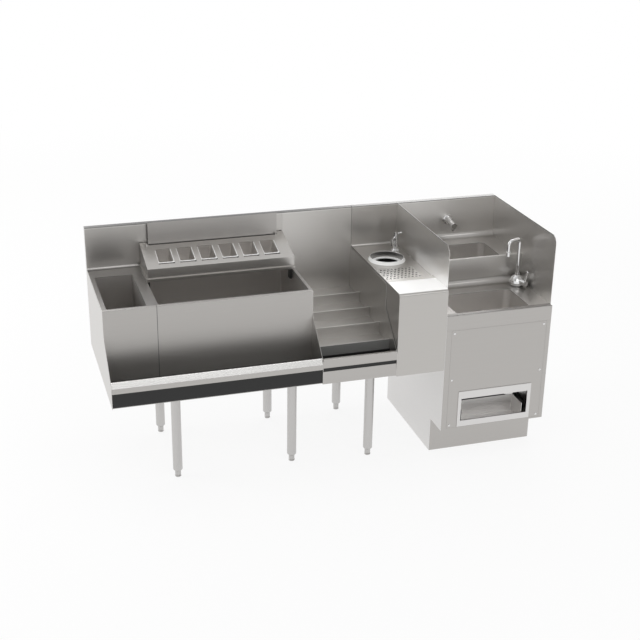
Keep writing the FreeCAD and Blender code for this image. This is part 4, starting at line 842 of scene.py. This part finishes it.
# %% Floor and world
FLOOR_HALF = 45.0
FLOOR_DROP = 0.5 * MM          # keeps the floor clear of the feet
FLOOR_LIFT = 0.87              # share of the floor's glow near the row
FLOOR_FADE = (2.0, 6.0)        # distances between which the glow grows to full white
WORLD_FILL = 0.60              # strength of the world for diffuse light
HORIZON = (0.10, 0.40)         # upward share of a ray's direction between which the ceiling darkens
VIEWER_SIDE = (-0.50, 0.20)    # backward share of it between which the viewer's side ends
CEILING_DROP = 0.15
FRONT_DROP = 0.40

floor_bm = bmesh.new()
bmesh.ops.create_grid(floor_bm, x_segments=1, y_segments=1, size=FLOOR_HALF)
bmesh.ops.translate(floor_bm, vec=(0, 0, -FLOOR_DROP), verts=floor_bm.verts)
floor_mesh = bpy.data.meshes.new("floor")
floor_bm.to_mesh(floor_mesh)
floor_bm.free()
floor = bpy.data.objects.new("floor", floor_mesh)
bpy.context.scene.collection.objects.link(floor)


def mirror_rays(wire):
    """1 for the rays by which metal and glass see their surroundings."""
    glossy = wire.node("ShaderNodeLightPath", output="Is Glossy Ray")
    return (glossy + wire.node("ShaderNodeLightPath", output="Is Transmission Ray")).limited()


floor_material, wire = begin("pale_floor")
speckle = grain(wire, (30.0, 30.0, 30.0), detail=4.0)
matt = wire.node("ShaderNodeBsdfDiffuse", sockets={
    "Color": blend_colours(speckle, (0.86, 0.86, 0.86, 1), (0.90, 0.90, 0.90, 1))})
glow = wire.node("ShaderNodeEmission", sockets={"Color": (1, 1, 1, 1), "Strength": 1.0})
floor_place = wire.node("ShaderNodeTexCoord", output="Object")
distance = wire.node("ShaderNodeVectorMath", {"operation": "LENGTH"}, {0: floor_place}, output="Value")
shown = (wire.node("ShaderNodeLightPath", output="Is Camera Ray") + mirror_rays(wire)).limited()
lift = shown * (FLOOR_LIFT + (1.0 - FLOOR_LIFT) * distance.steps(*FLOOR_FADE))
mixed = wire.node("ShaderNodeMixShader", sockets={0: lift, 1: matt, 2: glow})
wire.node("ShaderNodeOutputMaterial", sockets={"Surface": mixed})
floor_mesh.materials.append(floor_material)

world = bpy.data.worlds.new("studio")
bpy.context.scene.world = world
world.use_nodes = True
world.node_tree.nodes.clear()
air = Wire(world.node_tree)
seen = air.node("ShaderNodeLightPath", output="Is Camera Ray")
mirror = mirror_rays(air)
direction = air.node("ShaderNodeTexCoord", output="Generated")
upward = air.node("ShaderNodeSeparateXYZ", sockets={"Vector": direction}, output="Z")
backward = air.node("ShaderNodeSeparateXYZ", sockets={"Vector": direction}, output="Y")
viewer_side = 1.0 - backward.steps(*VIEWER_SIDE)
ceiling = 1.0 - upward.steps(*HORIZON) * (CEILING_DROP + FRONT_DROP * viewer_side)
strength = seen + (1.0 - seen) * (mirror * ceiling + (1.0 - mirror) * WORLD_FILL)
sky = air.node("ShaderNodeBackground", sockets={"Color": (1, 1, 1, 1), "Strength": strength})
air.node("ShaderNodeOutputWorld", sockets={"Surface": sky})
print("floor", 2 * FLOOR_HALF, "m wide, world nodes:", len(world.node_tree.nodes))

# %% [markdown]
# ## Lamps
# Two soft lamps stand behind the row, with a gap between them. The decks mirror them over the top of the
# splash, so the decks and rims are light while the splash between them stays darker. A narrow lamp in front
# lights the fronts and a wide one on the left lights the end panel, the legs and the side of the cabinet. The
# lamp above only adds soft light: mirror rays don't see it, or it would wash out every deck.

# %% Soft lamps
MIDDLE = (0, 0, 0.6)
ABOVE_DECK = (0.3, -0.2, 0.77)


def soft_lamp(name, place, target, width, height, power, mirrored=True):
    """Large soft lamp that looks at a target and isn't seen by the camera."""
    data = bpy.data.lights.new(name, "AREA")
    data.shape = "RECTANGLE"
    data.size = width
    data.size_y = height
    data.energy = power
    lamp = bpy.data.objects.new(name, data)
    bpy.context.scene.collection.objects.link(lamp)
    aim = Vector(target) - Vector(place)
    lamp.matrix_world = Matrix.Translation(place) @ aim.to_track_quat("-Z", "Y").to_matrix().to_4x4()
    lamp.visible_camera = False
    lamp.visible_glossy = mirrored


soft_lamp("lamp_front", (1.0, -4.4, 4.6), MIDDLE, width=4.6, height=1.2, power=42.0)
soft_lamp("lamp_back_right", (2.6, 4.0, 2.75), ABOVE_DECK, width=2.2, height=1.9, power=30.0)
soft_lamp("lamp_back_left", (-1.5, 4.0, 2.75), ABOVE_DECK, width=2.0, height=1.9, power=28.0)
soft_lamp("lamp_top", (-0.3, -0.6, 4.0), MIDDLE, width=5.0, height=4.0, power=45.0, mirrored=False)
soft_lamp("lamp_left", (-4.4, 1.2, 1.6), (-0.5, 0, 0.5), width=2.4, height=2.4, power=60.0)
bpy.context.scene.view_settings.view_transform = "Standard"
